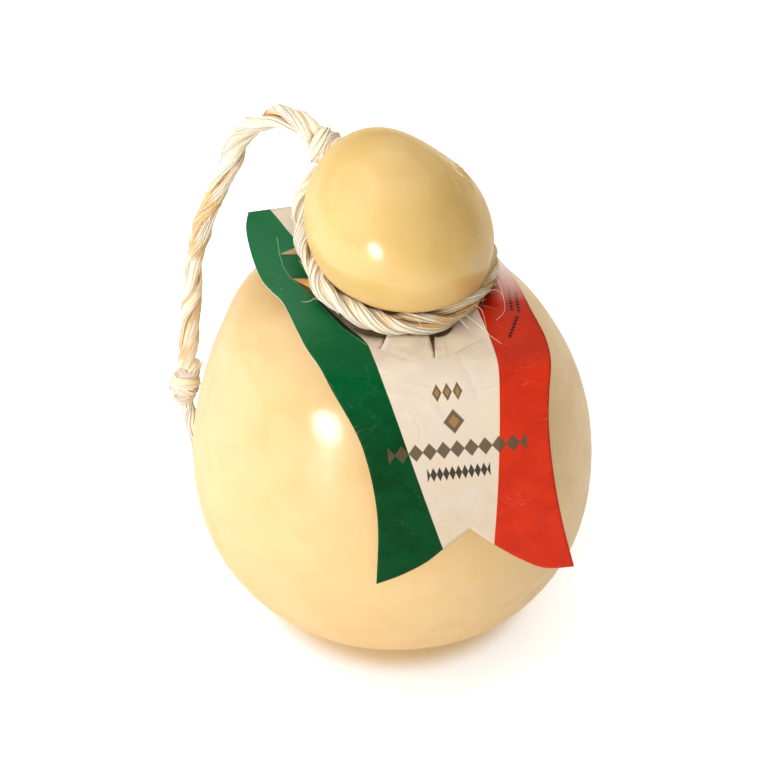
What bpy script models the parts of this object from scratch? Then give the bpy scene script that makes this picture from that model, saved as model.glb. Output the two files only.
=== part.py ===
"""Caciocavallo: a drop-shaped stretched-curd cheese with its card label and raffia rope.

Metres, +Z up. The cheese stands on a small flat spot at the origin and the label falls down the
front, towards -Y. Each sub-part is one closed solid in an object of its own.
"""

import math

import bmesh
import bpy
from mathutils import Vector

# Body of the cheese: a superellipse above and below its widest level.
BODY_RADIUS = 0.0731
BODY_WIDEST_Z = 0.0609
BODY_DEPTH_BELOW = 0.0625
BODY_HEIGHT_ABOVE = 0.103
BODY_FULLNESS_BELOW = 2.37
BODY_FULLNESS_ABOVE = 1.80
BASE_SPOT_RADIUS = 0.022
SHOULDER_RADIUS = 0.050

# Head of the cheese: a ball on a pinched neck, fuller than the neck's own ball, longer towards the
# front, thinner across, and pressed a little flat at the back right of its crown.
HEAD_RADIUS = 0.0304
HEAD_Z = 0.1688
HEAD_FULLNESS = 1.0594
HEAD_LONG_DIRECTION = Vector((0.38, -0.70, -0.61)).normalized()
HEAD_LONG_STRETCH = 1.122
HEAD_SHORT_DIRECTION = Vector((0.86, 0.45, 0.24)).normalized()
HEAD_SHORT_STRETCH = 0.946
HEAD_FLAT_DIRECTION = Vector((0.51, 0.49, 0.71)).normalized()
HEAD_FLAT_DEPTH = 0.0029
HEAD_FLAT_SPREAD = 0.141
HEAD_SHAPED_FROM_Z = 0.1515
HEAD_SHAPED_FULLY_Z = 0.1606
NECK_TOP_Z = 0.1532
NECK_PULL = (0.0232, 0.1455)
SHOULDER_PULL_LENGTH = 0.015

# Lean of the cheese: (height, shift along X, shift along Y).
LEAN = (
    (0.000, 0.0046, 0.0000),
    (0.022, 0.0021, 0.0000),
    (0.045, 0.0008, 0.0000),
    (0.070, 0.0006, 0.0000),
    (0.095, 0.0000, 0.0000),
    (0.115, -0.0017, 0.0000),
    (0.130, -0.0036, -0.0004),
    (0.150, 0.0034, -0.0013),
    (0.160, 0.0024, -0.0001),
    (0.175, 0.0023, -0.0031),
    (0.204, 0.0023, -0.0031),
)
CHEESE_SEGMENTS = 48
HEAD_STEPS = 10
NECK_STEPS = 6
BODY_STEPS_ABOVE = 9
BODY_STEPS_BELOW = 9

# Label: sizes of the flat card, measured from the middle of its hole.
CARD_THICKNESS = 0.0005
CARD_LEFT_SIDE = (
    (-0.0460, -0.0422),
    (-0.0484, -0.0330),
    (-0.0490, -0.0190),
    (-0.0482, -0.0060),
    (-0.0460, 0.0015),
    (-0.0432, 0.0085),
    (-0.0412, 0.0240),
    (-0.0398, 0.0335),
    (-0.0362, 0.0472),
    (-0.0306, 0.0658),
    (-0.0289, 0.0780),
    (-0.0288, 0.0920),
    (-0.0303, 0.1060),
    (-0.0345, 0.1262),
)
CARD_LEFT_TAIL = (
    (-0.0345, 0.1262),
    (-0.0260, 0.1243),
    (-0.0168, 0.1208),
    (-0.0101, 0.1165),
    (0.0003, 0.1098),
)
CARD_RIGHT_TAIL = (
    (0.0003, 0.1098),
    (0.0073, 0.1182),
    (0.0151, 0.1262),
    (0.0229, 0.1320),
    (0.0327, 0.1336),
)
CARD_RIGHT_SIDE = (
    (0.0327, 0.1336),
    (0.0313, 0.1140),
    (0.0310, 0.0960),
    (0.0320, 0.0780),
    (0.0342, 0.0650),
    (0.0369, 0.0540),
    (0.0379, 0.0430),
    (0.0369, 0.0290),
    (0.0364, 0.0150),
    (0.0352, 0.0060),
    (0.0326, -0.0030),
    (0.0310, -0.0110),
    (0.0306, -0.0200),
    (0.0318, -0.0310),
    (0.0338, -0.0415),
)
CARD_OUTLINE_STEP = 0.005
CARD_HOLE_RADIUS = 0.0292
CARD_HOLE_STEPS = 40
NECK_CENTRE = (0.0028, -0.0014)

# How the card sits: turned a little on the neck, level there, then bent down the front.
CARD_TURN = math.radians(9.3)
CARD_SHIFT_X = 0.0040
COLLAR_Z = 0.1483
COLLAR_FRONT = 0.0453
BEND_RADIUS = 0.009
BEND_ANGLE = math.radians(66.0)
BEND_STEPS = 7
FALL_RADIUS = 0.260
FALL_LENGTH = 0.080
FALL_STEPS = 7

# Cord round the neck and the free rope: tube radii and routes.
CORD_RADIUS = 0.0031
CORD_RING_RADIUS = 0.0299
CORD_RING_CENTRE = (0.0038, -0.0023)
CORD_RING_Z = 0.1520
CORD_RING_START = math.radians(188.0)
CORD_RING_END = math.radians(372.0)
CORD_RING_POINTS = 15
NECK_KNOT = (-0.0196, 0.0323, 0.1765)
NECK_KNOT_RADII = (0.0063, 0.0063, 0.0066)
CORD_LEFT_ROUTE = (
    (-0.0224, 0.0279, 0.1706),
    (-0.0266, 0.0219, 0.1676),
    (-0.0293, 0.0175, 0.1650),
    (-0.0298, 0.0131, 0.1585),
    (-0.0286, 0.0070, 0.1532),
)
CORD_RIGHT_ROUTE = (
    (0.0276, 0.0180, 0.1524),
    (0.0184, 0.0286, 0.1536),
    (0.0062, 0.0344, 0.1575),
    (-0.0062, 0.0354, 0.1640),
    (-0.0142, 0.0334, 0.1719),
)
CORD_SPACING = 0.0085
CORD_BEVEL_RESOLUTION = 3

ROPE_RADIUS = 0.0040
ROPE_ROUTE = (
    (-0.0239, 0.0374, 0.1783),
    (-0.0290, 0.0440, 0.1798),
    (-0.0356, 0.0494, 0.1782),
    (-0.0419, 0.0529, 0.1741),
    (-0.0474, 0.0551, 0.1683),
    (-0.0515, 0.0553, 0.1626),
    (-0.0552, 0.0535, 0.1526),
    (-0.0600, 0.0517, 0.1429),
    (-0.0649, 0.0490, 0.1315),
    (-0.0672, 0.0472, 0.1238),
    (-0.0690, 0.0453, 0.1161),
    (-0.0703, 0.0435, 0.1080),
    (-0.0713, 0.0419, 0.0999),
    (-0.0724, 0.0403, 0.0912),
    (-0.0734, 0.0390, 0.0823),
    (-0.0746, 0.0378, 0.0740),
)
END_KNOT = (-0.0752, 0.0369, 0.0658)
END_KNOT_RADII = (0.0054, 0.0054, 0.0078)
TAIL_RADIUS = 0.0032
TAIL_ROUTE = (
    (-0.0751, 0.0364, 0.0576),
    (-0.0743, 0.0350, 0.0500),
    (-0.0731, 0.0344, 0.0420),
    (-0.0720, 0.0348, 0.0330),
    (-0.0715, 0.0358, 0.0240),
)
ROPE_SPACING = 0.016
ROPE_BEVEL_RESOLUTION = 2
KNOT_SEGMENTS = 16
KNOT_RINGS = 10

FINE_STEPS = 40

RIND_COLOUR = (0.87, 0.68, 0.34)
CARD_COLOUR = (0.80, 0.77, 0.72)
RAFFIA_COLOUR = (0.85, 0.72, 0.50)


def clear_scene():
    """Remove every object, so that the script can be run again."""
    for existing in list(bpy.data.objects):
        bpy.data.objects.remove(existing, do_unlink=True)


def make_material(name, colour, roughness):
    """A plain Principled material of one colour."""
    material = bpy.data.materials.new(name)
    material.use_nodes = True
    shader = material.node_tree.nodes["Principled BSDF"]
    shader.inputs["Base Color"].default_value = (*colour, 1.0)
    shader.inputs["Roughness"].default_value = roughness
    material.diffuse_color = (*colour, 1.0)
    return material


def add_object(name, data, collection, material):
    """Link a new object for a mesh or a curve and give it its material."""
    created = bpy.data.objects.new(name, data)
    collection.objects.link(created)
    data.materials.append(material)
    return created


def catmull_rom(points, value):
    """The point at value (0 to len - 1) on a smooth curve through the points."""
    index = min(int(value), len(points) - 2)
    part = value - index
    before = points[max(index - 1, 0)]
    start = points[index]
    end = points[index + 1]
    after = points[min(index + 2, len(points) - 1)]
    return (
        start
        + 0.5 * part * (end - before)
        + part * part * (before - 2.5 * start + 2.0 * end - 0.5 * after)
        + part ** 3 * (1.5 * (start - end) + 0.5 * (after - before))
    )


def spaced_along(points, spacing):
    """Points at even distances along the smooth curve through the given points."""
    route = [Vector(point) for point in points]
    fine_count = FINE_STEPS * (len(route) - 1)
    fine = [catmull_rom(route, step / FINE_STEPS) for step in range(fine_count + 1)]
    lengths = [0.0]
    for first, second in zip(fine, fine[1:]):
        lengths.append(lengths[-1] + (second - first).length)
    count = max(2, round(lengths[-1] / spacing))
    spaced = [fine[0]]
    position = 0
    for step in range(1, count):
        wanted = lengths[-1] * step / count
        while lengths[position + 1] < wanted:
            position += 1
        share = (wanted - lengths[position]) / (lengths[position + 1] - lengths[position])
        spaced.append(fine[position].lerp(fine[position + 1], share))
    spaced.append(fine[-1])
    return spaced


def lean_at(height):
    """Shift of the cheese's middle, along X and Y, at a height."""
    points = [Vector(point) for point in LEAN]
    last = len(points) - 2
    index = next((i for i in range(last) if height <= points[i + 1].x), last)
    share = (height - points[index].x) / (points[index + 1].x - points[index].x)
    lean = catmull_rom(points, index + min(max(share, 0.0), 1.0))
    return Vector((lean.y, lean.z, 0.0))


def body_radius_below(height):
    """Half width of the body at a height below its widest level."""
    share = (BODY_WIDEST_Z - height) / BODY_DEPTH_BELOW
    return BODY_RADIUS * (1.0 - share ** BODY_FULLNESS_BELOW) ** (1.0 / BODY_FULLNESS_BELOW)


def body_height_above(radius):
    """Height of the body's upper surface at a radius."""
    share = radius / BODY_RADIUS
    rise = (1.0 - share ** BODY_FULLNESS_ABOVE) ** (1.0 / BODY_FULLNESS_ABOVE)
    return BODY_WIDEST_Z + BODY_HEIGHT_ABOVE * rise


def bezier(start, start_pull, end_pull, end, share):
    """A point on a cubic curve between two ends and their two pull points."""
    rest = 1.0 - share
    return (
        rest ** 3 * start
        + 3.0 * rest ** 2 * share * start_pull
        + 3.0 * rest * share ** 2 * end_pull
        + share ** 3 * end
    )


def cheese_profile():
    """Half outline (radius, height) from the crown of the head to the middle of the base."""
    points = []
    neck_drop = (NECK_TOP_Z - HEAD_Z) / HEAD_RADIUS
    neck_angle = math.acos(neck_drop)
    for step in range(HEAD_STEPS):
        angle = neck_angle * step / HEAD_STEPS
        points.append(Vector((HEAD_RADIUS * math.sin(angle), HEAD_Z + HEAD_RADIUS * math.cos(angle))))
    neck_top = Vector((HEAD_RADIUS * math.sin(neck_angle), NECK_TOP_Z))
    shoulder = Vector((SHOULDER_RADIUS, body_height_above(SHOULDER_RADIUS)))
    below = Vector((SHOULDER_RADIUS + 0.001, body_height_above(SHOULDER_RADIUS + 0.001)))
    shoulder_pull = shoulder - (below - shoulder).normalized() * SHOULDER_PULL_LENGTH
    for step in range(NECK_STEPS):
        share = step / NECK_STEPS
        points.append(bezier(neck_top, Vector(NECK_PULL), shoulder_pull, shoulder, share))
    start_angle = math.asin(SHOULDER_RADIUS / BODY_RADIUS)
    for step in range(BODY_STEPS_ABOVE + 1):
        angle = start_angle + (math.pi / 2 - start_angle) * step / BODY_STEPS_ABOVE
        radius = BODY_RADIUS * math.sin(angle)
        points.append(Vector((radius, body_height_above(radius))))
    for step in range(1, BODY_STEPS_BELOW):
        height = BODY_WIDEST_Z * math.cos(math.pi / 2 * step / BODY_STEPS_BELOW)
        points.append(Vector((body_radius_below(height), height)))
    points.append(Vector((BASE_SPOT_RADIUS, 0.0)))
    points.append(Vector((0.0, 0.0)))
    return points


def shape_cheese_point(point):
    """Stretch the turned head and lean the whole cheese."""
    rise = (point.z - HEAD_SHAPED_FROM_Z) / (HEAD_SHAPED_FULLY_Z - HEAD_SHAPED_FROM_Z)
    rise = min(max(rise, 0.0), 1.0)
    from_head = point - Vector((0.0, 0.0, HEAD_Z))
    longer = (HEAD_LONG_STRETCH - 1.0) * from_head.dot(HEAD_LONG_DIRECTION)
    shorter = (HEAD_SHORT_STRETCH - 1.0) * from_head.dot(HEAD_SHORT_DIRECTION)
    off_flat = 1.0 - from_head.normalized().dot(HEAD_FLAT_DIRECTION)
    pressed = HEAD_FLAT_DEPTH * math.exp(-off_flat / HEAD_FLAT_SPREAD)
    change = (HEAD_FULLNESS - 1.0) * from_head
    change += longer * HEAD_LONG_DIRECTION + shorter * HEAD_SHORT_DIRECTION
    change -= pressed * HEAD_FLAT_DIRECTION
    shaped = point + rise * rise * (3.0 - 2.0 * rise) * change
    return shaped + lean_at(point.z)


def make_cheese(collection):
    """The whole cheese: a turned profile, leaned and pressed a little."""
    profile = bpy.data.meshes.new("cheese_profile")
    points = [(point.x, 0.0, point.y) for point in cheese_profile()]
    profile.from_pydata(points, [(index, index + 1) for index in range(len(points) - 1)], [])
    turned = bpy.data.objects.new("cheese_profile", profile)
    collection.objects.link(turned)
    screw = turned.modifiers.new("turn", "SCREW")
    screw.steps = CHEESE_SEGMENTS
    screw.render_steps = CHEESE_SEGMENTS
    screw.use_merge_vertices = True
    screw.merge_threshold = 0.00001
    bpy.context.view_layer.update()
    evaluated = turned.evaluated_get(bpy.context.evaluated_depsgraph_get())
    mesh = bpy.data.meshes.new_from_object(evaluated)
    bpy.data.objects.remove(turned, do_unlink=True)
    mesh.name = "cheese"
    for vertex in mesh.vertices:
        vertex.co = shape_cheese_point(vertex.co.copy())
    mesh.shade_smooth()
    return add_object("cheese", mesh, collection, make_material("rind", RIND_COLOUR, 0.32))


def smooth_section(points, spacing):
    """Flat points at even distances along a smooth curve, without the last one."""
    spaced = spaced_along([(x, y, 0.0) for x, y in points], spacing)
    return [(point.x, point.y) for point in spaced[:-1]]


def card_outline():
    """The card's whole outline as flat points: left side, two tails, right side."""
    outline = []
    for section in (CARD_LEFT_SIDE, CARD_LEFT_TAIL, CARD_RIGHT_TAIL, CARD_RIGHT_SIDE):
        outline += smooth_section(section, CARD_OUTLINE_STEP)
    return outline + [CARD_RIGHT_SIDE[-1]]


def card_path_at(path):
    """Where a distance down the card lies in the YZ plane."""
    if path <= COLLAR_FRONT:
        return -path, COLLAR_Z
    bend_length = BEND_RADIUS * BEND_ANGLE
    angle = min((path - COLLAR_FRONT) / BEND_RADIUS, BEND_ANGLE)
    y = -COLLAR_FRONT - BEND_RADIUS * math.sin(angle)
    z = COLLAR_Z - BEND_RADIUS * (1.0 - math.cos(angle))
    fallen = path - COLLAR_FRONT - bend_length
    if fallen > 0.0:
        steepness = BEND_ANGLE + fallen / FALL_RADIUS
        y -= FALL_RADIUS * (math.sin(steepness) - math.sin(BEND_ANGLE))
        z -= FALL_RADIUS * (math.cos(BEND_ANGLE) - math.cos(steepness))
    return y, z


def turn_card(x, y):
    """Turn a flat card point on the neck; returns its X and its distance down the card."""
    turned_x = x * math.cos(CARD_TURN) + y * math.sin(CARD_TURN) + CARD_SHIFT_X
    return turned_x, y * math.cos(CARD_TURN) - x * math.sin(CARD_TURN)


def bend_lines():
    """Distances down the card where it is scored across, so that it can bend."""
    bend_length = BEND_RADIUS * BEND_ANGLE
    lines = [COLLAR_FRONT + bend_length * step / BEND_STEPS for step in range(BEND_STEPS + 1)]
    fall_start = lines[-1]
    lines += [fall_start + FALL_LENGTH * step / FALL_STEPS for step in range(1, FALL_STEPS)]
    return lines


def make_label(collection):
    """The card label: a flat outline with a hole, scored across, bent and given its thickness."""
    flat = bpy.data.curves.new("label_flat", "CURVE")
    flat.dimensions = "2D"
    flat.fill_mode = "BOTH"
    hole = []
    for step in range(CARD_HOLE_STEPS):
        angle = 2.0 * math.pi * step / CARD_HOLE_STEPS
        across = NECK_CENTRE[0] + CARD_HOLE_RADIUS * math.cos(angle)
        down = -NECK_CENTRE[1] + CARD_HOLE_RADIUS * math.sin(angle)
        hole.append((across, down))
    outline = [turn_card(x, y) for x, y in card_outline()]
    for points in (outline, hole):
        spline = flat.splines.new("POLY")
        spline.points.add(len(points) - 1)
        spline.use_cyclic_u = True
        for spline_point, (x, y) in zip(spline.points, points):
            spline_point.co = (x, y, 0.0, 1.0)
    cutout = bpy.data.objects.new("label_flat", flat)
    collection.objects.link(cutout)
    bpy.context.view_layer.update()
    evaluated = cutout.evaluated_get(bpy.context.evaluated_depsgraph_get())
    mesh = bpy.data.meshes.new_from_object(evaluated)
    bpy.data.objects.remove(cutout, do_unlink=True)
    mesh.name = "label"
    mesh.materials.clear()

    card = bmesh.new()
    card.from_mesh(mesh)
    bmesh.ops.remove_doubles(card, verts=card.verts, dist=0.00001)
    for line in bend_lines():
        everything = card.verts[:] + card.edges[:] + card.faces[:]
        bmesh.ops.bisect_plane(
            card,
            geom=everything,
            dist=0.00001,
            plane_co=(0.0, line, 0.0),
            plane_no=(0.0, 1.0, 0.0),
        )
    bmesh.ops.triangulate(card, faces=card.faces[:])
    for vertex in card.verts:
        y, z = card_path_at(vertex.co.y)
        vertex.co = (vertex.co.x, y, z)
    bmesh.ops.recalc_face_normals(card, faces=card.faces[:])
    card.to_mesh(mesh)
    card.free()
    label = add_object("label", mesh, collection, make_material("card", CARD_COLOUR, 0.55))
    solidify = label.modifiers.new("thickness", "SOLIDIFY")
    solidify.thickness = CARD_THICKNESS
    solidify.offset = 0.0
    solidify.use_even_offset = True
    return label


def make_tube(name, points, radius, resolution, collection, material):
    """A tube of raffia along given points."""
    curve = bpy.data.curves.new(name, "CURVE")
    curve.dimensions = "3D"
    curve.bevel_depth = radius
    curve.bevel_resolution = resolution
    curve.use_fill_caps = True
    spline = curve.splines.new("POLY")
    spline.points.add(len(points) - 1)
    for spline_point, point in zip(spline.points, points):
        spline_point.co = (*point, 1.0)
    return add_object(name, curve, collection, material)


def make_knot(name, centre, radii, collection, material):
    """A knot as a plain rounded lump."""
    bpy.ops.mesh.primitive_uv_sphere_add(segments=KNOT_SEGMENTS, ring_count=KNOT_RINGS, radius=1.0)
    knot = bpy.context.active_object
    knot.name = name
    knot.data.name = name
    for vertex in knot.data.vertices:
        vertex.co = [value * radius for value, radius in zip(vertex.co, radii)]
    knot.location = centre
    knot.data.shade_smooth()
    knot.data.materials.append(material)
    for owner in list(knot.users_collection):
        owner.objects.unlink(knot)
    collection.objects.link(knot)
    return knot


def cord_route():
    """Round the neck from the knot's left side to its right side."""
    points = [Vector(point) for point in CORD_LEFT_ROUTE]
    for step in range(CORD_RING_POINTS):
        share = step / (CORD_RING_POINTS - 1)
        angle = CORD_RING_START + share * (CORD_RING_END - CORD_RING_START)
        x = CORD_RING_CENTRE[0] + CORD_RING_RADIUS * math.cos(angle)
        y = CORD_RING_CENTRE[1] + CORD_RING_RADIUS * math.sin(angle)
        points.append(Vector((x, y, CORD_RING_Z)))
    return points + [Vector(point) for point in CORD_RIGHT_ROUTE]


def make_cord(collection):
    """The cord tied round the neck, its knot, the free rope, its end knot and its tail."""
    raffia = make_material("raffia", RAFFIA_COLOUR, 0.75)
    ring = spaced_along(cord_route(), CORD_SPACING)
    make_tube("neck_cord", ring, CORD_RADIUS, CORD_BEVEL_RESOLUTION, collection, raffia)
    make_knot("neck_knot", NECK_KNOT, NECK_KNOT_RADII, collection, raffia)
    rope = spaced_along(ROPE_ROUTE, ROPE_SPACING)
    make_tube("rope", rope, ROPE_RADIUS, ROPE_BEVEL_RESOLUTION, collection, raffia)
    make_knot("end_knot", END_KNOT, END_KNOT_RADII, collection, raffia)
    tail = spaced_along(TAIL_ROUTE, ROPE_SPACING)
    make_tube("rope_tail", tail, TAIL_RADIUS, ROPE_BEVEL_RESOLUTION, collection, raffia)


def main():
    """Build the cheese, its label and its rope."""
    clear_scene()
    collection = bpy.data.collections.new("caciocavallo")
    bpy.context.scene.collection.children.link(collection)
    make_cheese(collection)
    make_label(collection)
    make_cord(collection)


main()
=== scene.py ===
# %% [markdown]
# # Dressing a caciocavallo
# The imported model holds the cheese, its card label and its raffia rope as plain solids. This
# lesson puts the real surfaces on them: a satin rind under clear film, a printed card with its
# cut tabs, and a rope of twisted fibre. Everything is in metres, with +Z up and the front
# towards -Y, so each piece is made where it belongs and nothing is fitted afterwards.

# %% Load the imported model
import math
import random

import bpy
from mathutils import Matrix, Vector, geometry, noise
from mathutils.kdtree import KDTree


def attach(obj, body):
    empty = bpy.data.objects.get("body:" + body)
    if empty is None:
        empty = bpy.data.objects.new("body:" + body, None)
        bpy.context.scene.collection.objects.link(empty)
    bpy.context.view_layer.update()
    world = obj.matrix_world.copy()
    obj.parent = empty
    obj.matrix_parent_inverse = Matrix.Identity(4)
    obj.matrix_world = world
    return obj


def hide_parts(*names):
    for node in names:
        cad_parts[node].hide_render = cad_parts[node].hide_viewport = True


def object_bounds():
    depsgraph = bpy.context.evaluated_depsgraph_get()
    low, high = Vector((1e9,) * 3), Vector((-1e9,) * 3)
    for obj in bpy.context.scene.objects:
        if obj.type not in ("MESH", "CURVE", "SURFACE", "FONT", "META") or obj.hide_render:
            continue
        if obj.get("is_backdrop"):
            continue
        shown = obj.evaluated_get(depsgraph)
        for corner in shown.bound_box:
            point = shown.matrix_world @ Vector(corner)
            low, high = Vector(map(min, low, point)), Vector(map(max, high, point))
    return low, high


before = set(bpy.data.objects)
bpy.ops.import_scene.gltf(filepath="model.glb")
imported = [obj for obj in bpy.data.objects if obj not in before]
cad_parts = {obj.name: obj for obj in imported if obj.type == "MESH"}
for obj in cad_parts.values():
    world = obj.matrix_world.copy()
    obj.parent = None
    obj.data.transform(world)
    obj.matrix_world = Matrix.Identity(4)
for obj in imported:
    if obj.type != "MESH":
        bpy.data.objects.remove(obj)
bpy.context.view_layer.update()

print("nodes:", ", ".join(sorted(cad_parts)))

# %% [markdown]
# ## The camera
# A product photographer stands a good way off and zooms in, which keeps the drop shape true.
# So the lens is long, and the camera looks down from about 43 degrees.

# %% Camera
CAMERA_PLACE = Vector((-0.0382, -0.5838, 0.6407))
CAMERA_TARGET = Vector((-0.0025, 0.0002, 0.0951))
LENS_MM = 105.0

camera_data = bpy.data.cameras.new("camera")
camera_data.lens = LENS_MM
camera_data.sensor_width = 36.0
camera = bpy.data.objects.new("camera", camera_data)
camera.location = CAMERA_PLACE
camera.rotation_euler = (CAMERA_TARGET - CAMERA_PLACE).to_track_quat("-Z", "Y").to_euler()
bpy.context.scene.collection.objects.link(camera)
bpy.context.scene.camera = camera
print("camera stands", round((CAMERA_TARGET - CAMERA_PLACE).length, 3), "m away")

# %% [markdown]
# ## Small helpers for shapes
# Every piece below is a list of points and a list of faces. One helper turns them into a smooth
# object, another draws a soft curve through a few given points, and a third reads points
# along that curve at an even distance.


# %% Helpers for shapes
def add_piece(name, points, faces, materials):
    """A smooth mesh object that rides with the cheese."""
    mesh = bpy.data.meshes.new(name)
    mesh.from_pydata([tuple(point) for point in points], [], faces)
    mesh.validate()
    mesh.shade_smooth()
    for material in materials:
        mesh.materials.append(material)
    piece = bpy.data.objects.new(name, mesh)
    bpy.context.scene.collection.objects.link(piece)
    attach(piece, "root")
    print(name, "has", len(mesh.polygons), "faces")
    return piece


def smooth_step(low, high, value):
    """0 below low, 1 above high and an even rise between them."""
    share = min(max((value - low) / (high - low), 0.0), 1.0)
    return share * share * (3.0 - 2.0 * share)


def on_curve(points, value):
    """The point at value (0 to len - 1) on a soft curve through the points."""
    index = min(int(value), len(points) - 2)
    part = value - index
    before = points[max(index - 1, 0)]
    start = points[index]
    end = points[index + 1]
    after = points[min(index + 2, len(points) - 1)]
    return (
        start
        + 0.5 * part * (end - before)
        + part * part * (before - 2.5 * start + 2.0 * end - 0.5 * after)
        + part ** 3 * (1.5 * (start - end) + 0.5 * (after - before))
    )


def evenly_along(route, spacing, fine=24):
    """Points at even distances along the soft curve through the route."""
    points = [Vector(point) for point in route]
    steps = fine * (len(points) - 1)
    dense = [on_curve(points, step / fine) for step in range(steps + 1)]
    reach = [0.0]
    for first, second in zip(dense, dense[1:]):
        reach.append(reach[-1] + (second - first).length)
    count = max(2, round(reach[-1] / spacing))
    spaced = []
    place = 0
    for step in range(count):
        wanted = reach[-1] * step / count
        while reach[place + 1] < wanted:
            place += 1
        share = (wanted - reach[place]) / (reach[place + 1] - reach[place])
        spaced.append(dense[place].lerp(dense[place + 1], share))
    spaced.append(dense[-1])
    return spaced


def length_of(points):
    """The length of a line through points."""
    return sum((second - first).length for first, second in zip(points, points[1:]))


# %% [markdown]
# ## Small helpers for materials
# A material is a tree of nodes. One helper adds a node with its settings and wires it up. The
# others start a node group or place one, do a sum, blend two colours, turn a stretch of values
# into a mask, or set what is the same all over a surface.


# %% Helpers for materials
def add_node(tree, kind, inputs=None, **settings):
    """A node; inputs maps a socket's name or number to a value or to another node's output."""
    node = tree.nodes.new(kind)
    for name, value in settings.items():
        setattr(node, name, value)
    for key, value in (inputs or {}).items():
        if isinstance(value, bpy.types.NodeSocket):
            tree.links.new(value, node.inputs[key])
        else:
            node.inputs[key].default_value = value
    return node


def new_group(name, inputs, outputs):
    """An empty node group with named sockets, and its two end nodes."""
    group = bpy.data.node_groups.new(name, "ShaderNodeTree")
    for label, kind, value in inputs:
        socket = group.interface.new_socket(label, in_out="INPUT", socket_type=kind)
        if value is not None:
            socket.default_value = value
    for label, kind in outputs:
        group.interface.new_socket(label, in_out="OUTPUT", socket_type=kind)
    start = group.nodes.new("NodeGroupInput")
    end = group.nodes.new("NodeGroupOutput")
    return group, start.outputs, end


def use_group(tree, group, inputs):
    """Place a node group in a tree with its own values, and return its outputs."""
    return add_node(tree, "ShaderNodeGroup", inputs, node_tree=group).outputs


def vector_node(tree, operation, inputs, output="Vector"):
    """The result of one sum with vectors."""
    return add_node(tree, "ShaderNodeVectorMath", inputs, operation=operation).outputs[output]


def math_node(tree, operation, *values, clamp=False):
    """The result of one sum."""
    node = add_node(tree, "ShaderNodeMath", dict(enumerate(values)), operation=operation)
    node.use_clamp = clamp
    return node.outputs[0]


def times(tree, first, second):
    """Two values multiplied."""
    return math_node(tree, "MULTIPLY", first, second)


def mixed(tree, share, first, second, strength=None):
    """A blend of two colours: the first at share 0, the second at share 1 times the strength."""
    if strength is not None:
        share = times(tree, share, strength)
    inputs = {0: share, 6: first, 7: second}
    return add_node(tree, "ShaderNodeMix", inputs, data_type="RGBA").outputs[2]


def ramp(tree, value, start, end, low=0.0, high=1.0, soft=False):
    """A mask that is low where the value is at start or before, and high from end onwards."""
    inputs = {"Value": value, "From Min": start, "From Max": end, "To Min": low, "To Max": high}
    rise = "SMOOTHSTEP" if soft else "LINEAR"
    return add_node(tree, "ShaderNodeMapRange", inputs, interpolation_type=rise).outputs["Result"]


def object_place(tree):
    """Where each point lies on the object, in metres."""
    return add_node(tree, "ShaderNodeTexCoord").outputs["Object"]


def new_material(name):
    """A material with its Principled shader."""
    material = bpy.data.materials.new(name)
    material.use_nodes = True
    return material, material.node_tree, material.node_tree.nodes["Principled BSDF"]


def set_finish(shader, values):
    """Set the shader's own sockets to values that are the same all over the surface."""
    for name, value in values.items():
        shader.inputs[name].default_value = value


def rgb(red, green, blue):
    """A colour given as a painter reads it off a screen (0 to 255), as the linear values."""
    values = []
    for channel in (red, green, blue):
        share = channel / 255.0
        values.append(share / 12.92 if share <= 0.04045 else ((share + 0.055) / 1.055) ** 2.4)
    return (*values, 1.0)


# %% [markdown]
# ## Effects that several materials share
# Cheese, card and raffia are all a little cloudy and a little pitted, and where they have been
# handled they are a little scratched and creased. Each of these is made once as a node group and
# placed in each material with its own scale.
#
# Clouds are slow changes of tone. They could be painted by hand, but noise between two limits
# gives them on any surface, without a seam.

# %% Node group: clouds
clouds, given, result = new_group(
    "soft clouds",
    [
        ("Place", "NodeSocketVector", None),
        ("Scale", "NodeSocketFloat", 40.0),
        ("Detail", "NodeSocketFloat", 3.0),
        ("Low", "NodeSocketFloat", 0.35),
        ("High", "NodeSocketFloat", 0.65),
    ],
    [("Mask", "NodeSocketFloat")],
)
cloud_noise = add_node(
    clouds,
    "ShaderNodeTexNoise",
    {"Vector": given["Place"], "Scale": given["Scale"], "Detail": given["Detail"]},
)
cloud_mask = ramp(clouds, cloud_noise.outputs["Fac"], given["Low"], given["High"], soft=True)
clouds.links.new(cloud_mask, result.inputs["Mask"])
print("group:", clouds.name)

# %% [markdown]
# Scratches are thin lines that come in patches. Each could be a curve of its own, but a stretched
# noise passes through its middle value along long thin lines, and those lines are the scratches.

# %% Node group: scratches
scratches, given, result = new_group(
    "thin scratches",
    [
        ("Place", "NodeSocketVector", None),
        ("Stretch", "NodeSocketVector", (1.0, 6.0, 1.0)),
        ("Scale", "NodeSocketFloat", 60.0),
        ("Width", "NodeSocketFloat", 0.012),
        ("Patches", "NodeSocketFloat", 0.55),
    ],
    [("Mask", "NodeSocketFloat")],
)
stretched = vector_node(scratches, "MULTIPLY", {0: given["Place"], 1: given["Stretch"]})
lines = add_node(
    scratches,
    "ShaderNodeTexNoise",
    {"Vector": stretched, "Scale": given["Scale"], "Detail": 1.0, "Distortion": 0.4},
)
off_middle = math_node(
    scratches,
    "ABSOLUTE",
    math_node(scratches, "SUBTRACT", lines.outputs["Fac"], 0.5),
)
widths_away = math_node(scratches, "DIVIDE", off_middle, given["Width"])
thin = math_node(scratches, "SUBTRACT", 1.0, widths_away, clamp=True)
in_patch = use_group(
    scratches,
    clouds,
    {"Place": given["Place"], "Scale": 55.0, "Low": given["Patches"], "High": 0.72},
)["Mask"]
scratches.links.new(times(scratches, thin, in_patch), result.inputs["Mask"])
print("group:", scratches.name)

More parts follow.
